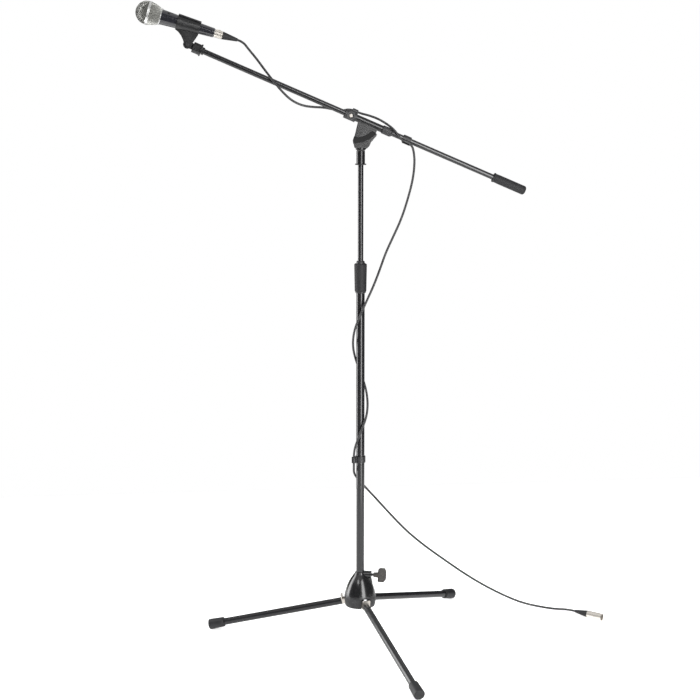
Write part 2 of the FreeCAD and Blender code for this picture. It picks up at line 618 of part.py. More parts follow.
save("sleeve_clip_screw", on_boom(head))

# clip on the boom behind the clutch ring, its eye in front of the boom
BOOM_EYE = (-(BOOM_R + 4.9), -BOOM_R)
rear_clip = cable_clip(BOOM_R, BOOM_R + 2.6, 3.2, BOOM_EYE, BOOM_CLIP_U - BOOM_CLIP_L / 2, BOOM_CLIP_L)
rear_clip.translate(Vector(0, 0, BOOM_W))
save("boom_cable_clip", on_boom(rear_clip))

# ---- microphone clip ----------------------------------------------------------------------
SOCKET_END = COLLAR_START - GAP


def clip_socket():
    """The block that screws on the boom's thread, with the tongue of the clip's pivot."""
    start = SOCKET_END - SOCKET_L
    body = rod(Vector(start, 0, 0), X, SOCKET_R, SOCKET_L)
    body = body.common(block(start, SOCKET_END, -SOCKET_R + 1.4, SOCKET_R - 1.4, -SOCKET_R, SOCKET_R))
    body = body.fuse(rod(Vector(SOCKET_END - SOCKET_FLANGE_T, 0, 0), X, SOCKET_FLANGE_R,
                         SOCKET_FLANGE_T))
    tongue = rod(Vector(CLIP_PIVOT_U, -TONGUE_HALF, 0), Y, LUG_R - 0.4, 2 * TONGUE_HALF)
    tongue = tongue.fuse(block(CLIP_PIVOT_U, start + 1, -TONGUE_HALF, TONGUE_HALF, -6.5, 7.5))
    body = body.fuse(tongue)
    body = body.cut(rod(Vector(SOCKET_END - THREAD_L - 1.5, 0, 0), X, INSERT_R, THREAD_L + 3))
    body = body.cut(rod(Vector(CLIP_PIVOT_U, -20, 0), Y, CLIP_BOLT_R + RUN, 40))
    body.translate(Vector(0, 0, BOOM_W))
    return body


save("clip_socket", on_boom(clip_socket()))
save("clip_thread_insert", on_boom(ring_at(SOCKET_END - THREAD_L - 1.5, THREAD_L + 1.5, INSERT_R,
                                           THREAD_R + RUN)))


def clip_cradle():
    """A springy C that holds the handle, on two cheeks that come down to the pivot."""
    length = CRADLE_END - CRADLE_START
    r0 = handle_radius(CRADLE_START) + RUN
    r1 = handle_radius(CRADLE_END) + RUN
    shell = cone(Vector(CRADLE_START, 0, 0), X, r0 + CRADLE_WALL, r1 + CRADLE_WALL, length)
    web = prism([(CRADLE_START, -9.0), (CRADLE_START, -16.5), (MIC_PIVOT_S - 26.0, -19.6),
                 (MIC_PIVOT_S - 18.0, -25.5), (MIC_PIVOT_S - 11.5, -33.5), (MIC_PIVOT_S - 8.4, MIC_PIVOT_T + 1.5), (MIC_PIVOT_S - 7.6, MIC_PIVOT_T - 5.0),
                 (MIC_PIVOT_S + 3.5, MIC_PIVOT_T - 8.3), (MIC_PIVOT_S + 8.8, MIC_PIVOT_T + 2.5),
                 (MIC_PIVOT_S + 12.0, -29.0), (CRADLE_END, -14.0), (CRADLE_END, -9.0)], -CHEEK_HALF, CHEEK_HALF)
    web = web.fuse(rod(Vector(MIC_PIVOT_S, -CHEEK_HALF, MIC_PIVOT_T), Y, LUG_R, 2 * CHEEK_HALF))
    lips = []
    half = math.radians(CRADLE_OPEN / 2)
    for side in (-1, 1):
        # a flange that flares outwards from the opening's edge, with a round bead along it
        y, z = side * math.sin(half + 0.07), math.cos(half + 0.07)
        ends = []
        for s, r in ((CRADLE_START, r0), (CRADLE_END, r1)):
            ends.append(Part.makePolygon([
                Vector(s, y * (r + a) + b * z, z * (r + a) - b * y)
                for a, b in ((-1.0, -1.3), (LIP_OUT, -1.3), (LIP_OUT, 1.3), (-1.0, 1.3), (-1.0, -1.3))]))
        lips.append(Part.makeLoft(ends, True, True))
        bead0 = Vector(CRADLE_START, y * (r0 + LIP_OUT), z * (r0 + LIP_OUT))
        bead1 = Vector(CRADLE_END, y * (r1 + LIP_OUT), z * (r1 + LIP_OUT))
        lips.append(rod(bead0, (bead1 - bead0).normalize(), 1.9, (bead1 - bead0).Length))
    body = shell.fuse([web] + lips)
    body = body.common(block(CRADLE_START, CRADLE_END, -40, 40, -80, 40))
    body = body.cut(cone(Vector(CRADLE_START, 0, 0), X, r0, r1, length))
    # the opening at the top
    wide = math.tan(half) * 40
    opening = Part.Face(Part.makePolygon([Vector(CRADLE_START - 1, 0, 0), Vector(CRADLE_START - 1, wide, 40),
                                          Vector(CRADLE_START - 1, -wide, 40),
                                          Vector(CRADLE_START - 1, 0, 0)])).extrude(Vector(length + 2, 0, 0))
    body = body.cut(opening)
    # the fork between the cheeks, and the pivot's hole
    inner = TONGUE_HALF + RUN
    fork_r = SOCKET_R + 3.4
    fork = block(MIC_PIVOT_S - 40, MIC_PIVOT_S + 40, -inner, inner, MIC_PIVOT_T - 30, MIC_PIVOT_T + LUG_R + 1.0)
    body = body.cut(fork)
    body = body.cut(block(CRADLE_START - 1, CRADLE_START + 10, -30, 30, -60, -fork_r - 6.5))
    return body.cut(rod(Vector(MIC_PIVOT_S, -20, MIC_PIVOT_T), Y, CLIP_BOLT_R + RUN, 40))


save("clip_cradle", on_mic(clip_cradle()))
pivot = rod(Vector(0, -CHEEK_HALF - 2.4, 0), Y, CLIP_BOLT_R, 2 * CHEEK_HALF + 4.4)
pivot = pivot.fuse(rod(Vector(0, -CHEEK_HALF - 2.4, 0), Y, 4.4, 2.2))
nut = Part.Face(Part.makePolygon([
    Vector(4.6 * math.cos(math.radians(60 * k)), CHEEK_HALF + 0.2, 4.6 * math.sin(math.radians(60 * k)))
    for k in range(7)])).extrude(Vector(0, 2.6, 0))
pivot = pivot.fuse(nut)
pivot.translate(Vector(CLIP_PIVOT_U, 0, BOOM_W))
save("clip_pivot_bolt", on_boom(pivot))

# ---- microphone ---------------------------------------------------------------------------
inner_ball = BALL_R - GRILLE_WALL
d45 = math.sqrt(0.5)
front = turned([(-BALL_R, 0), ("arc", -BALL_R * d45, BALL_R * d45, 0, BALL_R), (0, inner_ball),
                ("arc", -inner_ball * d45, inner_ball * d45, -inner_ball, 0)], X)
save("mic_grille_front", on_mic(front))
band_r = BALL_R + BAND_PROUD
band = turned([(0, inner_ball), (0, band_r - 0.3), (0.5, band_r), (BAND_END - 0.5, band_r - 0.2),
               (BAND_END, band_r - 0.6), (BAND_END, inner_ball - 0.6), (BAND_END - 1, inner_ball - 1.2),
               (0.5, inner_ball - 1.2)], X)
save("mic_grille_band", on_mic(band))
rear_start = BALL_R - 0.5
mid_s = (BAND_END + GRILLE_END) / 2
mid_r = (rear_start + GRILLE_END_R) / 2 + 1.6
back = turned([(BAND_END, rear_start), ("arc", mid_s, mid_r, GRILLE_END, GRILLE_END_R),
               (GRILLE_END, GRILLE_END_R - GRILLE_WALL),
               ("arc", mid_s, mid_r - GRILLE_WALL, BAND_END, rear_start - GRILLE_WALL)], X)
save("mic_grille_rear", on_mic(back))
collar_end = GRILLE_END + COLLAR_T
save("mic_collar", on_mic(turned([
    (GRILLE_END, 13.0), (GRILLE_END, COLLAR_R - 0.5), (GRILLE_END + 0.5, COLLAR_R),
    (collar_end - 0.4, COLLAR_R), (collar_end, COLLAR_R - 0.5), (collar_end, 13.0)], X)))
handle = turned([
    (collar_end, 0), (collar_end, HANDLE_START_R), (HANDLE_END - 1.0, HANDLE_END_R),
    (HANDLE_END, HANDLE_END_R - 0.9), (HANDLE_END, 0)], X)
handle = handle.cut(cone(Vector(collar_end - 0.01, 0, 0), X, HANDLE_START_R - HANDLE_WALL - 0.4,
                         HANDLE_END_R - HANDLE_WALL, HANDLE_END - collar_end + 0.02))
# a shallow flat recess for the switch, on the side that faces the singer's thumb
SWITCH_ANGLE = 38.0
recess = block(SWITCH_S - 7.5, SWITCH_S + 7.5, -3.6, 3.6, handle_radius(SWITCH_S) - 1.0, 40)
recess.rotate(ORIGIN, X, SWITCH_ANGLE)
save("mic_handle", on_mic(handle.cut(recess)))
slider = block(SWITCH_S - 4.5, SWITCH_S + 0.5, -2.2, 2.2, handle_radius(SWITCH_S) - 0.95,
               handle_radius(SWITCH_S) + 1.0)
slider = rounded(slider, 0.7, lambda e: e.CenterOfMass.z > handle_radius(SWITCH_S) + 0.9)
slider.rotate(ORIGIN, X, SWITCH_ANGLE)
save("mic_switch", on_mic(slider))
capsule = turned([(2.0, 0), (2.0, 12.0), (3.5, 13.0), (GRILLE_END, 13.0), (40.0, 13.0), (40.0, 9.0),
                  (58.0, 9.0), (58.0, 0)], X)
save("mic_capsule", on_mic(capsule))
INSERT_START = HANDLE_END - 22.0
insert = rod(Vector(INSERT_START, 0, 0), X, HANDLE_END_R - HANDLE_WALL - 0.02, 8.0)
for angle in (90, 210, 330):
    pin = rod(Vector(INSERT_START + 7, 3.4 * math.cos(math.radians(angle)),
                     3.4 * math.sin(math.radians(angle))), X, 1.1, 14.0)
    insert = insert.fuse(pin)
save("mic_xlr_insert", on_mic(insert))

# ---- cable plugs --------------------------------------------------------------------------
PLUG_START = HANDLE_END + 0.3


def plug_shell():
    """A turned metal shell with the socket insert that takes the microphone's pins."""
    end = PLUG_START + PLUG_L
    shell = turned([(PLUG_START, 0), (PLUG_START, PLUG_R - 0.5), (PLUG_START + 0.5, PLUG_R),
                    (end - 5.0, PLUG_R), (end - 4.6, PLUG_R - 0.35), (end - 4.0, PLUG_R - 0.35),
                    (end - 3.6, PLUG_R), (end, PLUG_R), (end, 0)], X)
    window = block(PLUG_START + 3.6, PLUG_START + 12.4, -2.6, 2.6, PLUG_R - 2.6, PLUG_R + 3)
    return shell.cut(window)


def cable_boot(start, length, thick_r, thin_r):
    """A ribbed rubber boot that tapers to the cable."""
    outline = [(start, 0), (start, thick_r - 0.4), (start + 0.8, thick_r),
               ("arc", start + length * 0.55, thick_r * 0.66 + 0.2, start + length, thin_r),
               (start + length, 0)]
    return turned(outline, X)


save("plug_shell", on_mic(plug_shell()))
latch = block(PLUG_START + 3.9, PLUG_START + 12.1, -2.3, 2.3, PLUG_R - 1.7, PLUG_R + 0.9)
latch = rounded(latch, 0.6, lambda e: e.CenterOfMass.z > PLUG_R + 0.8)
save("plug_latch", on_mic(latch))
BOOT_START = PLUG_START + PLUG_L
save("plug_boot", on_mic(cable_boot(BOOT_START, BOOT_L, PLUG_R - 0.2, BOOT_END_R)))

# ---- cable --------------------------------------------------------------------------------


def cord_tube(points, radius, name):
    """Straight runs joined by tangent arcs, each as large as its two runs allow."""
    pts = [Vector(*p) for p in points]
    edges, radii, last = [], [], pts[0]
    for before, corner, after in zip(pts, pts[1:], pts[2:]):
        a, b = (before - corner), (after - corner)
        shorter = min(a.Length, b.Length)
        a.normalize()
        b.normalize()
        half_turn = (math.pi - a.getAngle(b)) / 2
        reach = 0.45 * shorter
        bend = reach / math.tan(half_turn)
        start, end = corner + a * reach, corner + b * reach
        middle = (a + b).normalize() * (bend / math.cos(half_turn) - bend)
        edges.append(Part.LineSegment(last, start).toShape())
        edges.append(Part.Arc(start, corner + middle, end).toShape())
        radii.append(bend)
        last = end
    edges.append(Part.LineSegment(last, pts[-1]).toShape())
    path = Part.Wire(edges)
    length = path.Length
    ring = Part.Wire(Part.makeCircle(radius, pts[0], (pts[1] - pts[0]).normalize()))
    tube = path.makePipeShell([ring], True, False)
    ideal = math.pi * radius ** 2 * length
    print("%s: length %.1f, smallest radius %.1f, volume off by %.3f%%"
          % (name, length, min(radii), 100 * (tube.Volume / ideal - 1)))
    print("   radii " + " ".join("%.0f" % r for r in radii))
    return tube


SLEEVE_EYE_RUN = 12.0  # straight stretch of the cable on each side of an eye's middle
BOOM_EYE_RUN = 13.0
MAST_EYE_RUN = 18.0
boot_tip = MIC_ORIGIN + Rotation(Y, MIC_TILT).multVec(Vector(BOOT_START + BOOT_L, 0, 0))
boot_way = Rotation(Y, MIC_TILT).multVec(Vector(1, 0, 0))
near_boot = boot_tip + boot_way * 12.0
FRONT_ROUTE = [
    (boot_tip.x, boot_tip.y, boot_tip.z), (near_boot.x, near_boot.y, near_boot.z),
    (-245.0, -2.0, 1360.0), (-229.0, -4.5, 1341.0), (-212.0, -8.5, 1317.5), (-195.0, -14.5, 1295.0),
    (-177.0, -17.0, 1273.0), (-155.5, -16.0, 1252.0), (-130.0, -11.0, 1240.0), (-104.5, -3.0, 1237.0),
    (-84.0, 6.5, 1236.5)]
eye_point = boom_point(EYE_U, SLEEVE_EYE[0], BOOM_W + SLEEVE_EYE[1])
before_eye = boom_point(EYE_U - SLEEVE_EYE_RUN, SLEEVE_EYE[0], BOOM_W + SLEEVE_EYE[1])
after_eye = boom_point(EYE_U + SLEEVE_EYE_RUN, SLEEVE_EYE[0], BOOM_W + SLEEVE_EYE[1])
# behind the boom, and round behind the clip up to its eye
FRONT_ROUTE += [tuple(boom_point(-88.0, BOOM_R + 6.0, BOOM_W - 3.0)),
                tuple(boom_point(-65.0, SLEEVE_CLIP_R + 5.6, BOOM_W + 3.0)),
                tuple(before_eye), tuple(eye_point)]
before_boom_eye = boom_point(BOOM_CLIP_U - BOOM_EYE_RUN, BOOM_EYE[0], BOOM_W + BOOM_EYE[1])
boom_eye = boom_point(BOOM_CLIP_U, BOOM_EYE[0], BOOM_W + BOOM_EYE[1])
after_boom_eye = boom_point(BOOM_CLIP_U + BOOM_EYE_RUN, BOOM_EYE[0], BOOM_W + BOOM_EYE[1])
SLEEVE_ROUTE = [
    tuple(eye_point), tuple(after_eye), (18.5, 4.5, 1219.0), (39.0, 0.5, 1211.5), (59.0, -4.5, 1199.5),
    (75.5, -9.5, 1186.0), tuple(before_boom_eye), tuple(boom_eye)]
MAST_EYE_ANGLE = math.radians(180.0 + 26.0)
mast_eye = Vector(MAST_EYE * math.cos(MAST_EYE_ANGLE), MAST_EYE * math.sin(MAST_EYE_ANGLE), MAST_CLIP_Z)
above_mast_eye = mast_eye + Z * MAST_EYE_RUN
below_mast_eye = mast_eye - Z * MAST_EYE_RUN
HANG_ROUTE = [
    tuple(boom_eye), tuple(after_boom_eye), (117.5, -10.5, 1140.0), (120.0, -9.0, 1115.0),
    (116.5, -7.0, 1077.5), (105.0, -6.0, 1032.5), (91.0, -7.0, 990.0), (72.5, -9.0, 950.5),
    (55.0, -11.5, 914.0), (41.0, -14.0, 874.5), (26.0, -17.5, 837.5), (10.0, -21.5, 805.0),
    (-3.0, -18.0, 773.0)]
WRAP_ROUTE = [
    HANG_ROUTE[-1], (-16.0, -14.5, 741.0), (-18.0, 2.0, 704.0), (-11.0, 13.5, 672.0),
    (1.5, 17.0, 638.5), (13.5, 11.5, 603.5), (17.5, 0.5, 571.0), (13.5, -11.5, 540.5),
    (1.0, -17.5, 509.0), (-11.5, -15.0, 477.5), tuple(above_mast_eye), tuple(mast_eye)]
PLUG_Z = PLUG_R + 0.05
FLOOR_Z = CORD_R
FALL_ROUTE = [
    tuple(mast_eye), tuple(below_mast_eye), (-14.5, 6.5, 402.5), (-3.5, 17.5, 384.0),
    (14.5, 23.5, 363.0), (39.5, 31.0, 334.0),
    (76.0, 45.0, 290.0), (117.0, 62.0, 242.5), (164.0, 82.5, 197.5), (213.0, 104.0, 156.0),
    (266.0, 126.0, 112.0), (318.0, 146.0, 73.0), (370.0, 160.5, 40.0), (424.5, 166.5, 12.5),
    (470.0, 160.0, FLOOR_Z), (506.0, 139.0, FLOOR_Z), (532.0, 117.0, PLUG_Z),
    (547.5, 103.0, PLUG_Z)]
cords = {"cord_front": FRONT_ROUTE, "cord_sleeve": SLEEVE_ROUTE, "cord_hang": HANG_ROUTE,
         "cord_wrap": WRAP_ROUTE, "cord_fall": FALL_ROUTE}
for name, route in cords.items():
    save(name, cord_tube(route, CORD_R, name))

# the plug at the cable's far end, lying on the floor
far_way = Vector(*FALL_ROUTE[-1]) - Vector(*FALL_ROUTE[-2])
far_turn = math.degrees(math.atan2(far_way.y, far_way.x))
FAR_SHELL_L = 38.0


def at_far_end(shape):
    return placed(shape, Placement(Vector(*FALL_ROUTE[-1]), Rotation(Z, far_turn)))


far_boot = cable_boot(-BOOT_L, BOOT_L, PLUG_R - 0.2, BOOT_END_R)
far_boot.rotate(Vector(0, 0, 0), Z, 180)
save("far_plug_boot", at_far_end(far_boot))
far_shell = pipe(Vector(BOOT_L, 0, 0), X, PLUG_R, PLUG_R - 0.9, FAR_SHELL_L)
far_shell = far_shell.fuse(rod(Vector(BOOT_L, 0, 0), X, PLUG_R - 0.5, FAR_SHELL_L - 15.0))
save("far_plug_shell", at_far_end(far_shell))
far_pins = [rod(Vector(BOOT_L + FAR_SHELL_L - 15.0, 3.4 * math.cos(math.radians(a)),
                       3.4 * math.sin(math.radians(a))), X, 1.15, 12.5) for a in (90, 210, 330)]
save("far_plug_pins", *[at_far_end(p) for p in far_pins])
print("nodes", len(os.listdir("parts")))
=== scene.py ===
import json
import math

import bpy
from bpy.props import FloatProperty, FloatVectorProperty, IntProperty, PointerProperty
from mathutils import Matrix, Vector


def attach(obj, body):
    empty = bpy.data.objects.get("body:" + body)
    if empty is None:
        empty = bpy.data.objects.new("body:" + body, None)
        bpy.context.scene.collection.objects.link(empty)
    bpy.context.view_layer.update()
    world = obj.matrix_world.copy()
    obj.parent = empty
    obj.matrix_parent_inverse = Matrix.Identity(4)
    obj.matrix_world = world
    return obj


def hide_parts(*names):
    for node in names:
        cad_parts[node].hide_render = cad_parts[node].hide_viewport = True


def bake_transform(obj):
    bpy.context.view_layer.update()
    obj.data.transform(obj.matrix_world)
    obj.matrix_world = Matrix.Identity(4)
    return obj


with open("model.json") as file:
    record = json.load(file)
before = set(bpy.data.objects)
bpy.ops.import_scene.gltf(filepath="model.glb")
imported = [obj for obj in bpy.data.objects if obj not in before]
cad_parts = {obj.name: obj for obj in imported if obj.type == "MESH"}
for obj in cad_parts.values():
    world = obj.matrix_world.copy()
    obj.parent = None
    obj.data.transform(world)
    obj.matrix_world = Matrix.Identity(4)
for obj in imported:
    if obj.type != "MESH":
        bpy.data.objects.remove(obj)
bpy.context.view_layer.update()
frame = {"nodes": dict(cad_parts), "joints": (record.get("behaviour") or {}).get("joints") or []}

bl_info = {
    "name": "Boom Microphone Stand Looks",
    "version": (1, 0, 0),
    "blender": (4, 5, 0),
    "location": "3D View > Sidebar > Stand",
    "description": "Finishes, cable and fine detail of a tripod boom stand with a clipped microphone",
    "category": "Object",
}

MM = 0.001
NODES = frame["nodes"]
JOINTS = {j["name"]: j for j in frame["joints"]}
Y_WAY = Vector((0, 1, 0))


# ---- the design's own directions and places -------------------------------------------------

def local_frame(origin, way):
    """A matrix whose X runs along way, whose Y is the stand's, at origin."""
    x = Vector(way).normalized()
    z = x.cross(Y_WAY)
    matrix = Matrix((x, Y_WAY, z)).transposed().to_4x4()
    matrix.translation = Vector(origin)
    return matrix


TILT_PIVOT = Vector(JOINTS["tilt_knob_turn"]["pos_m"])
CLIP_PIVOT = Vector(JOINTS["clip_tilt"]["pos_m"])
BOOM_FRAME = local_frame(TILT_PIVOT, JOINTS["boom_slide"]["axis"])
MIC_WAY = -Vector(JOINTS["mic_pull_out"]["axis"])
MIC_TURN = local_frame((0, 0, 0), MIC_WAY)
# the microphone's own frame starts at the middle of its ball, and the clip's pivot is here in it
PIVOT_IN_MIC = Vector((99.6, 0, -40.0)) * MM
MIC_FRAME = local_frame(CLIP_PIVOT - MIC_TURN @ PIVOT_IN_MIC, MIC_WAY)


# ---- sizes and colours that a user would change ---------------------------------------------

class FinishSettings(bpy.types.PropertyGroup):
    """Colours of the stand's finishes."""
    powder: FloatVectorProperty(
        name="Powder coat", description="Colour of the tubes' powder coat", subtype="COLOR",
        size=3, min=0, max=1, default=(0.0115, 0.0115, 0.0125))
    casting: FloatVectorProperty(
        name="Casting paint", description="Colour of the painted die castings", subtype="COLOR",
        size=3, min=0, max=1, default=(0.009, 0.009, 0.0095))
    rubber: FloatVectorProperty(
        name="Rubber", description="Colour of the feet and grips", subtype="COLOR",
        size=3, min=0, max=1, default=(0.0125, 0.0125, 0.0135))
    nylon: FloatVectorProperty(
        name="Nylon", description="Colour of the clips and the clutch", subtype="COLOR",
        size=3, min=0, max=1, default=(0.012, 0.012, 0.013))
    knob: FloatVectorProperty(
        name="Knob plastic", description="Colour of the wing knobs", subtype="COLOR",
        size=3, min=0, max=1, default=(0.075, 0.068, 0.062))
    zinc: FloatVectorProperty(
        name="Zinc plate", description="Colour of the plated steel", subtype="COLOR",
        size=3, min=0, max=1, default=(0.60, 0.565, 0.52))
    wire: FloatVectorProperty(
        name="Grille wire", description="Colour of the grille's wire", subtype="COLOR",
        size=3, min=0, max=1, default=(0.37, 0.37, 0.35))
    cable: FloatVectorProperty(
        name="Cable jacket", description="Colour of the cable", subtype="COLOR",
        size=3, min=0, max=1, default=(0.012, 0.012, 0.013))


class CableSettings(bpy.types.PropertyGroup):
    """The cable's sizes."""
    diameter: FloatProperty(
        name="Diameter", description="Outer diameter of the jacket", unit="LENGTH",
        default=5.0 * MM, min=3.0 * MM, max=9.0 * MM)
    sides: IntProperty(
        name="Sides", description="Faces round the cable", default=20, min=8, max=48)


class GrilleSettings(bpy.types.PropertyGroup):
    """The woven grille of the microphone."""
    wire: FloatProperty(
        name="Wire", description="Thickness of the grille's wire", unit="LENGTH",
        default=0.52 * MM, min=0.2 * MM, max=1.0 * MM)
    pitch: FloatProperty(
        name="Pitch", description="Distance from wire to wire", unit="LENGTH",
        default=1.42 * MM, min=0.8 * MM, max=3.0 * MM)


class StageSettings(bpy.types.PropertyGroup):
    """Floor and light."""
    floor: FloatVectorProperty(
        name="Floor", description="Colour of the floor", subtype="COLOR",
        size=3, min=0, max=1, default=(0.93, 0.93, 0.93))
    glow: FloatProperty(
        name="Floor glow", description="Strength of the floor's own light",
        default=0.6, min=0, max=4)
    overhead: FloatProperty(
        name="Overhead light", description="Strength of the soft light from above",
        default=1.6, min=0, max=20)


# name, bearing in degrees, distance, (width, height), height of the middle, watts
SOFT_BOXES = (
    ("box_right_front", 26.5, 2.7, (1.1, 3.6), 1.05, 125.0),
    ("box_left", -104.0, 2.7, (1.2, 2.8), 0.95, 84.0),
    ("box_high_front", -24.0, 3.2, (1.2, 0.7), 3.0, 30.0),
)
FLOOR_SIZE = 2.6
FLOOR_DROP = 0.0002         # the floor lies this far under the feet
SHED_LIGHT = (0.06, 0.06, 0.062, 1)     # what the studio's white walls give off


# ---- shader maths ---------------------------------------------------------------------------

class Value:
    """A shader socket that Python's operators work on."""

    def __init__(self, graph, socket):
        self.graph = graph
        self.socket = socket

    def _math(self, operation, *values):
        return self.graph.node("ShaderNodeMath", {"operation": operation}, dict(enumerate(values)))

    def __add__(self, other):
        return self._math("ADD", self, other)

    def __sub__(self, other):
        return self._math("SUBTRACT", self, other)

    def __rsub__(self, other):
        return self._math("SUBTRACT", other, self)

    def __mul__(self, other):
        return self._math("MULTIPLY", self, other)

    def __truediv__(self, other):
        return self._math("DIVIDE", self, other)

    __radd__ = __add__
    __rmul__ = __mul__


class Graph:
    """A material and the nodes in it."""

    def __init__(self, name):
        self.material = bpy.data.materials.new(name)
        self.material.use_nodes = True
        self.tree = self.material.node_tree
        self.tree.nodes.clear()
        self.output = self.tree.nodes.new("ShaderNodeOutputMaterial")
        self.shader = self.tree.nodes.new("ShaderNodeBsdfPrincipled")
        self.tree.links.new(self.shader.outputs[0], self.output.inputs[0])
        self.place = self.node("ShaderNodeTexCoord", out="Object")

    def node(self, kind, settings=None, inputs=None, out=0):
        made = self.tree.nodes.new(kind)
        for key, value in (settings or {}).items():
            setattr(made, key, value)
        for key, value in (inputs or {}).items():
            self.put(made.inputs[key], value)
        return Value(self, made.outputs[out])

    def put(self, socket, value):
        if isinstance(value, Value):
            self.tree.links.new(value.socket, socket)
        elif hasattr(value, "__len__") and len(value) == 3 and socket.type == "RGBA":
            socket.default_value = (*value, 1)
        else:
            socket.default_value = value

    def set(self, **inputs):
        """Sets the shader's sockets; a name's underscores stand for spaces."""
        for key, value in inputs.items():
            self.put(self.shader.inputs[key.replace("_", " ")], value)
        return self

    def noise(self, scale, detail=2.0, roughness=0.5, at=None):
        return self.node("ShaderNodeTexNoise", None, {
            "Vector": at or self.place, "Scale": scale, "Detail": detail, "Roughness": roughness})

    def range(self, value, low, high, to_low=0.0, to_high=1.0):
        return self.node("ShaderNodeMapRange", {"clamp": True}, {
            "Value": value, "From Min": low, "From Max": high, "To Min": to_low, "To Max": to_high})

    def mix(self, factor, first, second):
        return self.node("ShaderNodeMix", {"data_type": "RGBA"}, {0: factor, 6: first, 7: second}, out=2)

    def bump(self, height, distance, strength=1.0, normal=None):
        inputs = {"Height": height, "Distance": distance, "Strength": strength}
        if normal is not None:
            inputs["Normal"] = normal
        return self.node("ShaderNodeBump", None, inputs)

    def along(self, matrix, stretch):
        """The place in a piece's own frame, scaled by stretch along each of its axes."""
        turned = self.node("ShaderNodeMapping", {"vector_type": "POINT"}, {
            "Vector": self.node("ShaderNodeVectorMath", {"operation": "SUBTRACT"},
                                {0: self.place, 1: tuple(matrix.translation)}),
            "Rotation": tuple(matrix.to_3x3().inverted().to_euler())})
        return self.node("ShaderNodeVectorMath", {"operation": "MULTIPLY"}, {0: turned, 1: stretch})

    def height(self):
        """The height above the floor, in metres."""
        return self.node("ShaderNodeSeparateXYZ", None, {0: self.place}, out=2)


def shade(colour, factor):
    return tuple(min(1.0, c * factor) for c in colour)


# ---- the finishes ---------------------------------------------------------------------------

def powder_coat(colour):
    """Satin black powder coat: a fine orange peel, a few rubbed and dusty patches."""
    g = Graph("powder_coat")
    patch = g.range(g.noise(28.0, 4.0), 0.45, 0.75)
    peel = g.noise(1500.0, 2.0)
    dust = g.range(g.noise(420.0, 3.0, 0.7), 0.62, 0.8)
    colour_out = g.mix(patch * 0.5, colour, shade(colour, 1.6))
    colour_out = g.mix(dust * 0.3, colour_out, shade(colour, 2.6))
    return g.set(Base_Color=colour_out, Roughness=patch * 0.04 + dust * 0.05 + 0.2,
                 Specular_IOR_Level=0.42, Coat_Weight=0.15, Coat_Roughness=0.12,
                 Normal=g.bump(peel, 0.00004, 0.3)).material


def leg_paint(colour):
    """The legs' thicker gloss coat, scuffed near the floor."""
    g = Graph("leg_paint")
    low = g.range(g.height(), 0.012, 0.055, 1.0, 0.0)
    scuff = g.range(g.noise(160.0, 5.0, 0.65), 0.5, 0.72) * low
    peel = g.noise(1300.0, 2.0)
    patch = g.range(g.noise(24.0, 3.0), 0.4, 0.75)
    colour_out = g.mix(scuff * 0.6, g.mix(patch * 0.5, colour, shade(colour, 1.6)), shade(colour, 5.0))
    return g.set(Base_Color=colour_out, Roughness=scuff * 0.25 + patch * 0.04 + 0.15,
                 Specular_IOR_Level=0.34, Coat_Weight=0.08, Coat_Roughness=0.1,
                 Normal=g.bump(peel, 0.00004, 0.3)).material


def cast_paint(colour):
    """Gloss paint on a die casting: slow waves under the gloss and fine speckle."""
    g = Graph("cast_paint")
    wave = g.noise(60.0, 3.0)
    speck = g.range(g.noise(900.0, 3.0, 0.7), 0.63, 0.78)
    colour_out = g.mix(speck * 0.4, colour, shade(colour, 3.4))
    uneven = g.bump(wave, 0.0006, 0.35)
    return g.set(Base_Color=colour_out, Roughness=speck * 0.1 + wave * 0.05 + 0.22,
                 Specular_IOR_Level=0.34, Coat_Weight=0.12, Coat_Roughness=0.16,
                 Normal=g.bump(g.noise(1500.0, 2.0), 0.00004, 0.4, uneven)).material


def bell_paint(colour, skirt_top):
    """The housing: gloss above, and a matt sand-cast skirt below skirt_top."""
    g = Graph("bell_paint")
    skirt = g.range(g.height() + g.noise(70.0, 2.0) * 0.004, skirt_top - 0.004, skirt_top + 0.006, 1.0, 0.0)
    grain = g.noise(700.0, 4.0, 0.7)
    pits = g.range(g.noise(135.0, 4.0, 0.75), 0.5, 0.66)
    colour_out = g.mix(skirt * 0.85, colour, shade(colour, 1.5))
    colour_out = g.mix(pits * skirt * 0.85, colour_out, shade(colour, 4.6))
    rough_wall = g.bump(grain * skirt, 0.0012, 1.0)
    return g.set(Base_Color=colour_out, Roughness=skirt * 0.36 + pits * 0.05 + 0.22,
                 Specular_IOR_Level=0.42, Coat_Weight=(1 - skirt) * 0.25, Coat_Roughness=0.14,
                 Normal=g.bump(g.noise(1400.0, 2.0), 0.00004, 0.4, rough_wall)).material


def zinc_plate(colour, name="zinc_plate"):
    """Bright zinc plate with a faint yellow cast, dulled in cloudy patches and lightly scratched."""
    g = Graph(name)
    cloud = g.range(g.noise(140.0, 4.0, 0.6), 0.35, 0.7)
    scratch = g.range(g.noise(60.0, 2.0, at=g.along(Matrix.Identity(4), (14.0, 1.0, 30.0))), 0.6, 0.72)
    colour_out = g.mix(cloud, shade(colour, 0.72), colour)
    colour_out = g.mix(scratch * 0.35, colour_out, shade(colour, 1.3))
    return g.set(Base_Color=colour_out, Metallic=1.0, Roughness=cloud * -0.10 + scratch * 0.1 + 0.40,
                 Normal=g.bump(g.noise(900.0, 3.0), 0.00005, 0.4)).material


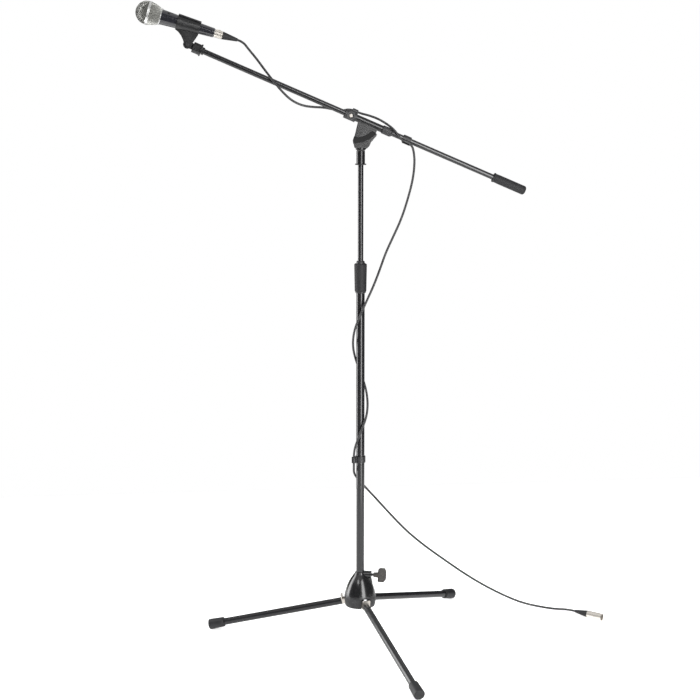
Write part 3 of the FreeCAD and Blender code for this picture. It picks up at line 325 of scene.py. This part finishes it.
def black_zinc():
    """Black-passivated steel: dark, with a dull metal sheen."""
    g = Graph("black_zinc")
    cloud = g.range(g.noise(150.0, 4.0, 0.6), 0.35, 0.7)
    return g.set(Base_Color=g.mix(cloud, (0.030, 0.030, 0.032), (0.055, 0.054, 0.052)), Metallic=0.7,
                 Roughness=cloud * 0.1 + 0.34, Normal=g.bump(g.noise(900.0, 3.0), 0.00004, 0.4)).material


def rubber(colour, name="moulded_rubber", grain=1.0):
    """Moulded rubber: matt, finely grained, with a pale bloom."""
    g = Graph(name)
    bloom = g.range(g.noise(85.0, 5.0, 0.65), 0.42, 0.75)
    fine = g.noise(1900.0, 3.0, 0.6)
    coarse = g.noise(520.0, 3.0)
    colour_out = g.mix(bloom * 0.7, colour, shade(colour, 1.9))
    colour_out = g.mix(g.range(fine, 0.55, 0.75) * 0.4, colour_out, shade(colour, 2.6))
    return g.set(Base_Color=colour_out, Roughness=bloom * 0.12 + 0.62, Specular_IOR_Level=0.3,
                 Normal=g.bump(fine + coarse, 0.00010 * grain, 0.7)).material


def foot_rubber(colour):
    """The feet's rubber, paler grey in patches within 12 mm of the floor."""
    g = Graph("foot_rubber")
    low = g.range(g.height(), 0.0, 0.012, 1.0, 0.0)
    bloom = g.range(g.noise(110.0, 5.0, 0.65), 0.4, 0.72)
    fine = g.noise(1700.0, 3.0, 0.6)
    colour_out = g.mix(bloom * 0.6, colour, shade(colour, 2.0))
    colour_out = g.mix(low * g.range(g.noise(260.0, 4.0), 0.35, 0.7) * 0.6, colour_out, (0.05, 0.049, 0.047))
    return g.set(Base_Color=colour_out, Roughness=bloom * 0.15 + low * 0.1 + 0.42,
                 Specular_IOR_Level=0.3,
                 Normal=g.bump(fine, 0.0001, 0.6)).material


def nylon(colour, name="moulded_nylon", gloss=0.42):
    """Injection-moulded nylon: spark-eroded grain and soft flow marks."""
    g = Graph(name)
    flow = g.range(g.noise(50.0, 3.0), 0.35, 0.75)
    grain = g.noise(1500.0, 3.0, 0.65)
    colour_out = g.mix(flow * 0.6, colour, shade(colour, 1.8))
    return g.set(Base_Color=colour_out, Roughness=flow * 0.08 + g.range(grain, 0.4, 0.7) * 0.08 + gloss,
                 Normal=g.bump(grain, 0.00007, 0.5)).material


def knob_plastic(colour):
    """Glass-filled nylon: coarse grain with pale fibres in it."""
    g = Graph("knob_plastic")
    grain = g.noise(850.0, 4.0, 0.7)
    fibre = g.range(g.noise(500.0, 3.0, 0.7, at=g.along(Matrix.Identity(4), (1.0, 1.0, 3.0))), 0.56, 0.74)
    colour_out = g.mix(g.range(grain, 0.35, 0.65), shade(colour, 0.4), shade(colour, 0.9))
    colour_out = g.mix(fibre * 0.6, colour_out, shade(colour, 2.1))
    mottle = g.range(g.noise(150.0, 3.0, 0.7), 0.4, 0.6)
    colour_out = g.mix(mottle * 0.75, colour_out, shade(colour, 0.3))
    return g.set(Base_Color=colour_out, Roughness=g.range(grain, 0.3, 0.7) * 0.15 + 0.5,
                 Normal=g.bump(grain, 0.0006, 1.0)).material


def grille_wire(colour):
    """Drawn steel wire with a satin nickel finish, a little tarnished."""
    g = Graph("grille_wire")
    tarnish = g.range(g.noise(130.0, 4.0, 0.6), 0.35, 0.75)
    colour_out = g.mix(tarnish, colour, shade(colour, 0.62))
    return g.set(Base_Color=colour_out, Metallic=0.6, Roughness=tarnish * 0.14 + 0.36,
                 Normal=g.bump(g.noise(1600.0, 2.0), 0.00003, 0.3)).material


def turned_steel(name, colour, matrix, roughness):
    """Bright steel turned on a lathe: fine rings round its own axis."""
    g = Graph(name)
    rings = g.noise(1.0, 3.0, 0.6, at=g.along(matrix, (5200.0, 70.0, 70.0)))
    cloud = g.range(g.noise(170.0, 3.0), 0.35, 0.7)
    colour_out = g.mix(cloud * 0.6, colour, shade(colour, 0.8))
    return g.set(Base_Color=colour_out, Metallic=1.0,
                 Roughness=g.range(rings, 0.3, 0.7) * 0.12 + cloud * 0.05 + roughness,
                 Normal=g.bump(rings, 0.00003, 0.5)).material


def gloss_enamel(colour):
    """The handle's dark enamel: smooth, with faint handling marks in the gloss."""
    g = Graph("gloss_enamel")
    marks = g.range(g.noise(220.0, 5.0, 0.7), 0.5, 0.78)
    wave = g.noise(90.0, 2.0)
    return g.set(Base_Color=g.mix(marks * 0.5, colour, shade(colour, 2.0)),
                 Roughness=marks * 0.1 + wave * 0.04 + 0.14, Coat_Weight=0.5, Coat_Roughness=0.08,
                 Normal=g.bump(g.noise(1300.0, 2.0), 0.00003, 0.4)).material


def foam(colour):
    """Open-cell foam behind the grille, with painted shade in its pores."""
    g = Graph("open_foam")
    cells = g.node("ShaderNodeTexVoronoi", None, {"Vector": g.place, "Scale": 900.0})
    # painted shade: the foam's colour halves in the pores, where this mask is low
    pore_shade_mask = g.range(cells, 0.0, 0.6)
    return g.set(Base_Color=g.mix(pore_shade_mask, shade(colour, 0.5), colour), Roughness=pore_shade_mask * 0.1 + 0.85,
                 Normal=g.bump(cells, 0.0004, 0.9)).material


def brass():
    g = Graph("plain_brass")
    cloud = g.range(g.noise(160.0, 4.0), 0.35, 0.7)
    return g.set(Base_Color=g.mix(cloud, (0.46, 0.31, 0.11), (0.72, 0.53, 0.22)), Metallic=1.0,
                 Roughness=cloud * 0.1 + 0.28).material


def raw_steel():
    """Bar steel with a light mill scale."""
    g = Graph("raw_bar_steel")
    scale = g.range(g.noise(95.0, 5.0, 0.65), 0.4, 0.7)
    return g.set(Base_Color=g.mix(scale, (0.25, 0.245, 0.24), (0.10, 0.10, 0.105)), Metallic=0.8,
                 Roughness=scale * 0.2 + 0.38, Normal=g.bump(scale, 0.0001, 0.5)).material


def cable_jacket(colour):
    """Soft PVC: nearly even, with a faint powdery bloom and the filler's ridges under the skin."""
    g = Graph("cable_jacket")
    bloom = g.range(g.noise(60.0, 5.0, 0.6), 0.4, 0.75)
    fine = g.noise(1500.0, 2.0)
    lumps = g.noise(240.0, 2.0)
    return g.set(Base_Color=g.mix(bloom * 0.7, colour, shade(colour, 2.2)),
                 Roughness=bloom * 0.12 + 0.44,
                 Normal=g.bump(fine, 0.00005, 0.4, g.bump(lumps, 0.0003, 0.25))).material


def wear(node_name, material):
    """Gives a CAD node its finish."""
    mesh = NODES[node_name].data
    mesh.materials.clear()
    mesh.materials.append(material)


# ---- mesh tools -----------------------------------------------------------------------------

def clear_selection():
    if bpy.context.mode != "OBJECT":
        bpy.ops.object.mode_set(mode="OBJECT")
    bpy.ops.object.select_all(action="DESELECT")


def take_active(name, material, matrix=None):
    """Names the object that was just made, puts its place into its mesh and gives it its finish."""
    made = bpy.context.active_object
    made.name = name
    made.data.name = name
    made.data.transform(made.matrix_world if matrix is None else matrix @ made.matrix_world)
    made.matrix_world = Matrix.Identity(4)
    made.data.materials.clear()
    made.data.materials.append(material)
    return made


def apply_modifier(piece, kind, **settings):
    bpy.context.view_layer.objects.active = piece
    modifier = piece.modifiers.new(kind.lower(), kind)
    for key, value in settings.items():
        setattr(modifier, key, value)
    bpy.ops.object.modifier_apply(modifier=modifier.name)


def smooth(piece, degrees=35.0):
    clear_selection()
    piece.select_set(True)
    bpy.context.view_layer.objects.active = piece
    bpy.ops.object.shade_smooth_by_angle(angle=math.radians(degrees))


def spun(name, outline, steps, material, matrix):
    """A piece turned about its frame's X axis from (along, radius) points in millimetres."""
    clear_selection()
    bpy.ops.mesh.primitive_plane_add(size=1 * MM)
    piece = bpy.context.active_object
    mesh = piece.data
    mesh.clear_geometry()
    points = [(along * MM, 0, radius * MM) for along, radius in outline]
    mesh.from_pydata(points, [(i, i + 1) for i in range(len(points) - 1)], [])
    bpy.ops.object.mode_set(mode="EDIT")
    bpy.ops.mesh.select_all(action="SELECT")
    bpy.ops.mesh.spin(steps=steps, angle=math.tau, center=(0, 0, 0), axis=(1, 0, 0))
    bpy.ops.mesh.select_all(action="SELECT")
    bpy.ops.mesh.remove_doubles(threshold=0.00001)
    bpy.ops.mesh.normals_make_consistent(inside=False)
    bpy.ops.object.mode_set(mode="OBJECT")
    return take_active(name, material, matrix)


# ---- the cable ------------------------------------------------------------------------------

def in_frame(matrix, *point):
    return tuple(matrix @ Vector([c * MM for c in point]))


def metres(*points):
    return [tuple(c * MM for c in p) for p in points]


# the cable's control points, from the microphone to the far plug
BOOT_TIP = in_frame(MIC_FRAME, 200.9, 0, 0)
SLEEVE_EYE = in_frame(BOOM_FRAME, -40.0, 7.4, 53.8)
BOOM_EYE = in_frame(BOOM_FRAME, 90.0, -10.9, 35.2)
EYE_SIDE = Matrix.Rotation(math.radians(206.0), 4, "Z")   # the side of the mast that its clip faces
EYE_REACH = 17.6
EYE_HEIGHT = 437.0
EYE_RUN = 18.0      # the cable runs straight this far above and below the clip
MAST_EYE = in_frame(EYE_SIDE, EYE_REACH, 0, EYE_HEIGHT)
FRONT_ROUTE = [
    BOOT_TIP, in_frame(MIC_FRAME, 212.9, 0, 0),
    *metres((-245.0, -2.0, 1360.0), (-229.0, -4.5, 1341.0), (-212.0, -8.5, 1317.5),
            (-195.0, -14.5, 1295.0), (-177.0, -17.0, 1273.0), (-155.5, -16.0, 1252.0),
            (-130.0, -11.0, 1240.0), (-104.5, -3.0, 1237.0), (-84.0, 6.5, 1236.5)),
    in_frame(BOOM_FRAME, -88.0, 12.0, 38.2), in_frame(BOOM_FRAME, -65.0, 16.5, 44.2),
    in_frame(BOOM_FRAME, -52.0, 7.4, 53.8), SLEEVE_EYE]
SLEEVE_ROUTE = [
    SLEEVE_EYE, in_frame(BOOM_FRAME, -28.0, 7.4, 53.8),
    *metres((18.5, 4.5, 1219.0), (39.0, 0.5, 1211.5), (59.0, -4.5, 1199.5), (75.5, -9.5, 1186.0)),
    in_frame(BOOM_FRAME, 77.0, -10.9, 35.2), BOOM_EYE]
HANG_ROUTE = [
    BOOM_EYE, in_frame(BOOM_FRAME, 103.0, -10.9, 35.2),
    *metres((117.5, -10.5, 1140.0), (120.0, -9.0, 1115.0), (116.5, -7.0, 1077.5),
            (105.0, -6.0, 1032.5), (91.0, -7.0, 990.0), (72.5, -9.0, 950.5), (55.0, -11.5, 914.0),
            (41.0, -14.0, 874.5), (26.0, -17.5, 837.5), (10.0, -21.5, 805.0), (-3.0, -18.0, 773.0))]
WRAP_ROUTE = [
    *metres((-3.0, -18.0, 773.0), (-16.0, -14.5, 741.0), (-18.0, 2.0, 704.0), (-11.0, 13.5, 672.0),
            (1.5, 17.0, 638.5), (13.5, 11.5, 603.5), (17.5, 0.5, 571.0), (13.5, -11.5, 540.5),
            (1.0, -17.5, 509.0), (-11.5, -15.0, 477.5)),
    in_frame(EYE_SIDE, EYE_REACH, 0, EYE_HEIGHT + EYE_RUN), MAST_EYE]
FALL_ROUTE = [
    MAST_EYE, in_frame(EYE_SIDE, EYE_REACH, 0, EYE_HEIGHT - EYE_RUN),
    *metres((-14.5, 6.5, 402.5), (-3.5, 17.5, 384.0), (14.5, 23.5, 363.0), (39.5, 31.0, 334.0),
            (76.0, 45.0, 290.0), (117.0, 62.0, 242.5), (164.0, 82.5, 197.5), (213.0, 104.0, 156.0),
            (266.0, 126.0, 112.0), (318.0, 146.0, 73.0), (370.0, 160.5, 40.0), (424.5, 166.5, 12.5),
            (470.0, 160.0, 2.5), (506.0, 139.0, 2.5), (532.0, 117.0, 8.65), (547.5, 103.0, 8.65))]

# each stretch of the cable: its route, where it ends along it in metres, the bodies it joins
# and the CAD solids that it stands for
FRONT, SLEEVE, HANG, FALL = "front", "sleeve", "hang", "fall"
STRETCHES = {
    FRONT: (FRONT_ROUTE, [
        ("cable_at_plug", 0.045, ("microphone", "clip_cradle"), ("cord_front",)),
        ("cable_at_cradle", 0.105, ("clip_cradle", "clip_socket"), ("cord_front",)),
        ("cable_at_socket", 0.155, ("clip_socket", "boom"), ("cord_front",)),
        ("cable_to_sleeve_clip", None, ("boom", "boom_holder"), ("cord_front",))]),
    SLEEVE: (SLEEVE_ROUTE, [
        ("cable_over_sleeve", None, ("boom_holder", "boom"), ("cord_sleeve",))]),
    HANG: (HANG_ROUTE + WRAP_ROUTE[1:], [
        ("cable_off_boom", 0.070, ("boom", "boom_holder"), ("cord_hang",)),
        ("cable_hang_upper", 0.140, ("boom_holder", "riser"), ("cord_hang",)),
        ("cable_hang_middle", 0.270, ("riser", "riser_guide"), ("cord_hang",)),
        ("cable_hang_lower", 0.620, ("riser_guide", "mast"), ("cord_hang", "cord_wrap")),
        ("cable_on_mast", None, ("mast",), ("cord_wrap",))]),
    FALL: (FALL_ROUTE, [
        ("cable_fall", None, ("mast", "base"), ("cord_fall",))]),
}


def smooth_line(points):
    """Points along the smooth curve that these control points give."""
    curve = bpy.data.curves.new("route", "CURVE")
    curve.dimensions = "3D"
    curve.resolution_u = 14
    spline = curve.splines.new("NURBS")
    spline.points.add(len(points) - 1)
    for control, point in zip(spline.points, points):
        control.co = (*point, 1)
    spline.order_u = 3
    spline.use_endpoint_u = True
    holder = bpy.data.objects.new("route", curve)
    mesh = bpy.data.meshes.new_from_object(holder)
    line = [v.co.copy() for v in mesh.vertices]
    bpy.data.objects.remove(holder)
    bpy.data.curves.remove(curve)
    bpy.data.meshes.remove(mesh)
    return line


def cut_line(line, ends):
    """The line in pieces that end at these lengths along it, a last end of None being its own."""
    parts, part, travelled = [], [line[0]], 0.0
    ends = list(ends)
    for before, after in zip(line, line[1:]):
        step = (after - before).length
        while ends[0] is not None and travelled + step >= ends[0]:
            cut = before.lerp(after, (ends[0] - travelled) / step)
            parts.append(part + [cut])
            part = [cut]
            ends.pop(0)
        travelled += step
        if (after - part[-1]).length > 1e-6:
            part.append(after)
    parts.append(part)
    return parts


def sweep_tube(name, line, way_in, way_out, radius, sides, material):
    """A closed tube along a line, its end faces square to way_in and way_out."""
    ways = [way_in]
    ways += [(after - before).normalized() for before, after in zip(line, line[2:])]
    ways.append(way_out)
    side = way_in.orthogonal().normalized()
    points, faces = [], []
    for i, (centre, way) in enumerate(zip(line, ways)):
        side = (side - way * side.dot(way)).normalized()
        other = way.cross(side)
        for k in range(sides):
            angle = math.tau * k / sides
            points.append(centre + (side * math.cos(angle) + other * math.sin(angle)) * radius)
        if i:
            base = (i - 1) * sides
            faces += [(base + k, base + (k + 1) % sides, base + sides + (k + 1) % sides, base + sides + k)
                      for k in range(sides)]
    last = (len(line) - 1) * sides
    faces.append(tuple(reversed(range(sides))))
    faces.append(tuple(range(last, last + sides)))
    mesh = bpy.data.meshes.new(name)
    mesh.from_pydata(points, [], faces)
    mesh.materials.append(material)
    piece = bpy.data.objects.new(name, mesh)
    bpy.context.scene.collection.objects.link(piece)
    smooth(piece, 50.0)
    return piece


def line_length(line):
    return sum((b - a).length for a, b in zip(line, line[1:]))


class STAND_OT_cable(bpy.types.Operator):
    """The microphone's cable, in stretches; a stretch that lies on one body is parented to it."""
    bl_idname = "stand.cable"
    bl_label = "Cable"

    def execute(self, context):
        sizes = context.scene.stand_cable
        jacket = cable_jacket(context.scene.stand_finish.cable)
        for route, stretches in STRETCHES.values():
            line = smooth_line(route)
            parts = cut_line(line, [end for _, end, _, _ in stretches])
            way_in = (line[1] - line[0]).normalized()
            for part, (name, _, bodies, stands_for) in zip(parts, stretches):
                way_out = (part[-1] - part[-2]).normalized()
                piece = sweep_tube(name, part, way_in, way_out, sizes.diameter / 2, sizes.sides, jacket)
                way_in = way_out
                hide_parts(*stands_for)
                line_length(part)
                "plug" if name == "cable_fall" else "object"
                if len(bodies) == 1:
                    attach(piece, bodies[0])
                else:
                    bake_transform(piece)
        return {"FINISHED"}


# ---- the microphone's grille ----------------------------------------------------------------

# millimetres, along the microphone's axis or from it
BALL_R = 25.3
BAND_END = 5.5
GRILLE_END = 28.4
GRILLE_END_R = 17.2
WIRE_INSET = 0.5
FOAM_INSET = 1.3
SPIRAL = 0.35               # radians that the rear weave turns from end to end


class STAND_OT_grille(bpy.types.Operator):
    """The microphone's woven ball, front and rear halves, with the foam behind it."""
    bl_idname = "stand.grille"
    bl_label = "Grille"

    def execute(self, context):
        sizes = context.scene.stand_grille
        wire = grille_wire(context.scene.stand_finish.wire)
        self.front(sizes, wire)
        self.rear(sizes, wire)
        self.foam()
        return {"FINISHED"}

    def front(self, sizes, material):
        """Half of a cube blown up to a ball: its grid is the weave, with no pole."""
        clear_selection()
        radius = (BALL_R - WIRE_INSET) * MM
        cells = round(radius * math.pi / 2 / sizes.pitch / 2) * 2
        bpy.ops.mesh.primitive_cube_add(size=2 * radius)
        bpy.ops.object.mode_set(mode="EDIT")
        bpy.ops.mesh.select_all(action="SELECT")
        bpy.ops.mesh.subdivide(number_cuts=cells - 1)
        bpy.ops.mesh.bisect(plane_co=(0, 0, 0), plane_no=(1, 0, 0), clear_outer=True)
        bpy.ops.object.mode_set(mode="OBJECT")
        ball = bpy.context.active_object
        for v in ball.data.vertices:
            # equal angles between the wires of each face
            warped = Vector([math.tan(c / radius * math.pi / 4) for c in v.co])
            v.co = warped.normalized() * radius
        piece = take_active("mic_grille_front_mesh", material, MIC_FRAME)
        self.weave(piece, sizes)
        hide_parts("mic_grille_front")

    def rear(self, sizes, material):
        """Rows of wires from the band back to the collar."""
        clear_selection()
        middle_r = (BALL_R - WIRE_INSET + GRILLE_END_R) / 2 + 1.6
        rows = round((GRILLE_END - BAND_END) * MM * 1.05 / sizes.pitch)
        columns = round(math.tau * middle_r * MM / sizes.pitch)
        bpy.ops.mesh.primitive_cylinder_add(vertices=columns, radius=1.0, depth=1.0, end_fill_type="NOTHING",
                                            rotation=(0, math.radians(90), 0))
        bpy.ops.object.transform_apply(location=False, rotation=True, scale=False)
        bpy.ops.object.mode_set(mode="EDIT")
        bpy.ops.mesh.select_all(action="DESELECT")
        bpy.ops.object.mode_set(mode="OBJECT")
        piece = bpy.context.active_object
        for edge in piece.data.edges:
            a, b = (piece.data.vertices[i].co.x for i in edge.vertices)
            edge.select = abs(a - b) > 0.5
        bpy.ops.object.mode_set(mode="EDIT")
        bpy.ops.mesh.select_mode(type="EDGE")
        bpy.ops.mesh.subdivide(number_cuts=rows - 1)
        bpy.ops.object.mode_set(mode="OBJECT")
        for v in piece.data.vertices:
            share = v.co.x + 0.5
            along = BAND_END + share * (GRILLE_END - BAND_END)
            # a parabola through both rims and the middle's radius
            start_r, end_r = BALL_R - 1.0, GRILLE_END_R - 0.4
            straight = start_r + share * (end_r - start_r)
            radius = straight + (middle_r - 0.6 - (start_r + end_r) / 2) * 4 * share * (1 - share)
            # the weave runs in a slow spiral
            turn = share * SPIRAL
            y, z = v.co.y, v.co.z
            scale = radius / math.hypot(y, z)
            v.co = (along * MM, (y * math.cos(turn) - z * math.sin(turn)) * scale * MM,
                    (y * math.sin(turn) + z * math.cos(turn)) * scale * MM)
        piece = take_active("mic_grille_rear_mesh", material, MIC_FRAME)
        self.weave(piece, sizes)
        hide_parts("mic_grille_rear")

    def weave(self, piece, sizes):
        apply_modifier(piece, "WIREFRAME", thickness=sizes.wire, use_even_offset=False, use_boundary=True,
                       use_replace=True)
        smooth(piece, 60.0)
        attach(piece, "microphone")

    def foam(self):
        foam_r = BALL_R - FOAM_INSET
        outline = [(-foam_r, 0.0)]
        for k in range(1, 13):
            angle = math.pi / 2 * k / 12
            outline.append((-foam_r * math.cos(angle), foam_r * math.sin(angle)))
        outline += [(6.0, 23.2), (12.0, 21.6), (20.0, 18.9), (27.5, 15.8), (28.0, 13.2), (28.0, 0.0)]
        piece = spun("mic_foam", outline, 64, foam((0.085, 0.085, 0.077)), MIC_FRAME)
        smooth(piece, 60.0)
        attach(piece, "microphone")


# ---- finishes of the CAD nodes --------------------------------------------------------------

class STAND_OT_finishes(bpy.types.Operator):
    """The finishes of the stand's own parts."""
    bl_idname = "stand.finishes"
    bl_label = "Finishes"

    def execute(self, context):
        look = context.scene.stand_finish
        powder = powder_coat(look.powder)
        legs = leg_paint(look.powder)
        cast = cast_paint(look.casting)
        zinc = zinc_plate(look.zinc)
        grip = rubber(look.rubber)
        boot = rubber(look.cable, "boot_rubber", 0.6)
        clips = nylon(look.nylon)
        cradle = nylon(shade(look.nylon, 0.55), "cradle_nylon", 0.26)
        wings = knob_plastic(look.knob)
        nickel = turned_steel("satin_nickel", (0.74, 0.70, 0.64), MIC_FRAME, 0.24)
        finish_of = {
            powder: ["mast_tube", "riser_tube", "boom_tube"],
            legs: ["leg_tube_a", "leg_tube_b", "leg_tube_c"],
            bell_paint(look.casting, 0.112): ["base_housing"],
            cast: ["head_post", "boom_clamp"],
            zinc: ["leg_bracket_a", "leg_bracket_b", "leg_bracket_c", "leg_pivot_pins"],
            zinc_plate(shade(look.zinc, 0.55), "dull_zinc"): ["sleeve_clip_screw"],
            black_zinc(): ["base_knob_screw", "tilt_bolt", "clip_pivot_bolt", "boom_thread_stub"],
            foot_rubber(look.rubber): ["leg_foot_a", "leg_foot_b", "leg_foot_c"],
            grip: ["clutch_grip", "rear_grip", "head_ring"],
            boot: ["plug_boot", "far_plug_boot"],
            clips: ["mast_cable_clip", "boom_cable_clip", "sleeve_cable_clip", "clutch_collar",
                    "boom_clutch_ring", "mast_bottom_plug", "riser_guide_bush", "tilt_washers",
                    "mic_xlr_insert", "mic_switch", "mic_capsule"],
            cradle: ["clip_cradle", "clip_socket"],
            wings: ["base_knob", "tilt_knob"],
            turned_steel("bright_band", (0.68, 0.68, 0.67), MIC_FRAME, 0.3):
                ["mic_grille_band", "mic_collar"],
            gloss_enamel((0.014, 0.014, 0.018)): ["mic_handle"],
            nickel: ["plug_shell", "plug_latch", "far_plug_shell", "far_plug_pins"],
            brass(): ["base_clamp_shoe", "clip_thread_insert"],
            raw_steel(): ["boom_counterweight"],
            cable_jacket(look.cable): ["cord_front", "cord_sleeve", "cord_hang", "cord_wrap", "cord_fall"],
        }
        for material, names in finish_of.items():
            for name in names:
                wear(name, material)
        bare = set(NODES) - {name for names in finish_of.values() for name in names}
        bare -= {"mic_grille_front", "mic_grille_rear"}
        if bare:
            raise RuntimeError("no finish for " + ", ".join(sorted(bare)))
        return {"FINISHED"}


# ---- the stage ------------------------------------------------------------------------------

class STAND_OT_stage(bpy.types.Operator):
    """A pale floor, soft light and the camera."""
    bl_idname = "stand.stage"
    bl_label = "Stage"

    def execute(self, context):
        sizes = context.scene.stand_stage
        self.camera(context)
        self.floor(sizes)
        self.lights(context, sizes)
        return {"FINISHED"}

    def camera(self, context):
        data = bpy.data.cameras.new("camera")
        data.sensor_width = 36.0
        data.lens = 71.588
        data.clip_end = 60.0
        camera = bpy.data.objects.new("camera", data)
        camera.location = (-0.34986, -3.10121, 1.2398)
        camera.rotation_euler = (math.radians(90 - 9.949), 0, math.radians(-6))
        context.scene.collection.objects.link(camera)
        context.scene.camera = camera

    def floor(self, sizes):
        """The floor glows a little, so that it stays pale right under the stand."""
        g = Graph("pale_floor")
        drift = g.noise(3.0, 3.0)
        g.set(Base_Color=g.mix(drift * 0.3, sizes.floor, shade(sizes.floor, 0.985)), Roughness=0.9,
              Specular_IOR_Level=0.1, Emission_Color=sizes.floor, Emission_Strength=sizes.glow)
        clear_selection()
        bpy.ops.mesh.primitive_plane_add(size=FLOOR_SIZE, location=(0.05, 0, -FLOOR_DROP))
        take_active("floor", g.material)

    def lights(self, context, sizes):
        world = bpy.data.worlds.new("studio")
        world.use_nodes = True
        tree = world.node_tree
        tree.nodes.clear()
        output = tree.nodes.new("ShaderNodeOutputWorld")
        seen, shed = tree.nodes.new("ShaderNodeBackground"), tree.nodes.new("ShaderNodeBackground")
        seen.inputs["Color"].default_value = (1, 1, 1, 1)
        shed.inputs["Color"].default_value = SHED_LIGHT
        path, mix = tree.nodes.new("ShaderNodeLightPath"), tree.nodes.new("ShaderNodeMixShader")
        tree.links.new(path.outputs["Is Camera Ray"], mix.inputs[0])
        tree.links.new(shed.outputs[0], mix.inputs[1])
        tree.links.new(seen.outputs[0], mix.inputs[2])
        tree.links.new(mix.outputs[0], output.inputs[0])
        context.scene.world = world
        context.scene.view_settings.view_transform = "Standard"

        overhead = bpy.data.lights.new("overhead", "SUN")
        overhead.energy = sizes.overhead
        overhead.angle = math.radians(110)
        lamp = bpy.data.objects.new("overhead", overhead)
        lamp.rotation_euler = (math.radians(-14), math.radians(-10), 0)
        context.scene.collection.objects.link(lamp)

        # tall soft boxes all round; the bearing is counted from the side that is seen first
        for name, bearing, distance, size, middle, power in SOFT_BOXES:
            data = bpy.data.lights.new(name, "AREA")
            data.shape = "RECTANGLE"
            data.size, data.size_y = size
            data.energy = power
            box = bpy.data.objects.new(name, data)
            turn = math.radians(bearing - 96.0)
            box.location = (distance * math.cos(turn), distance * math.sin(turn), middle)
            towards = Vector((-box.location.x, -box.location.y, 0))
            box.rotation_euler = towards.to_track_quat("-Z", "Y").to_euler()
            box.visible_camera = False
            context.scene.collection.objects.link(box)


# ---- panel, registration and the build ------------------------------------------------------

class STAND_PT_panel(bpy.types.Panel):
    """Lists the steps that build the stand's looks."""
    bl_idname = "STAND_PT_panel"
    bl_label = "Boom stand"
    bl_space_type = "VIEW_3D"
    bl_region_type = "UI"
    bl_category = "Stand"

    def draw(self, context):
        for step in STEPS:
            self.layout.operator(step.bl_idname)
        for group in SETTINGS:
            box = self.layout.box()
            for name in SETTINGS[group].__annotations__:
                box.prop(getattr(context.scene, group), name)


SETTINGS = {"stand_finish": FinishSettings, "stand_cable": CableSettings,
            "stand_grille": GrilleSettings, "stand_stage": StageSettings}
STEPS = [STAND_OT_stage, STAND_OT_cable, STAND_OT_finishes, STAND_OT_grille]


def register():
    for cls in [*SETTINGS.values(), *STEPS, STAND_PT_panel]:
        bpy.utils.register_class(cls)
    for name, cls in SETTINGS.items():
        setattr(bpy.types.Scene, name, PointerProperty(type=cls))


def unregister():
    for name in SETTINGS:
        delattr(bpy.types.Scene, name)
    for cls in reversed([*SETTINGS.values(), *STEPS, STAND_PT_panel]):
        bpy.utils.unregister_class(cls)


def main():
    register()
    for step in STEPS:
        group, name = step.bl_idname.split(".")
        getattr(getattr(bpy.ops, group), name)()


if __name__ == "__main__":
    main()
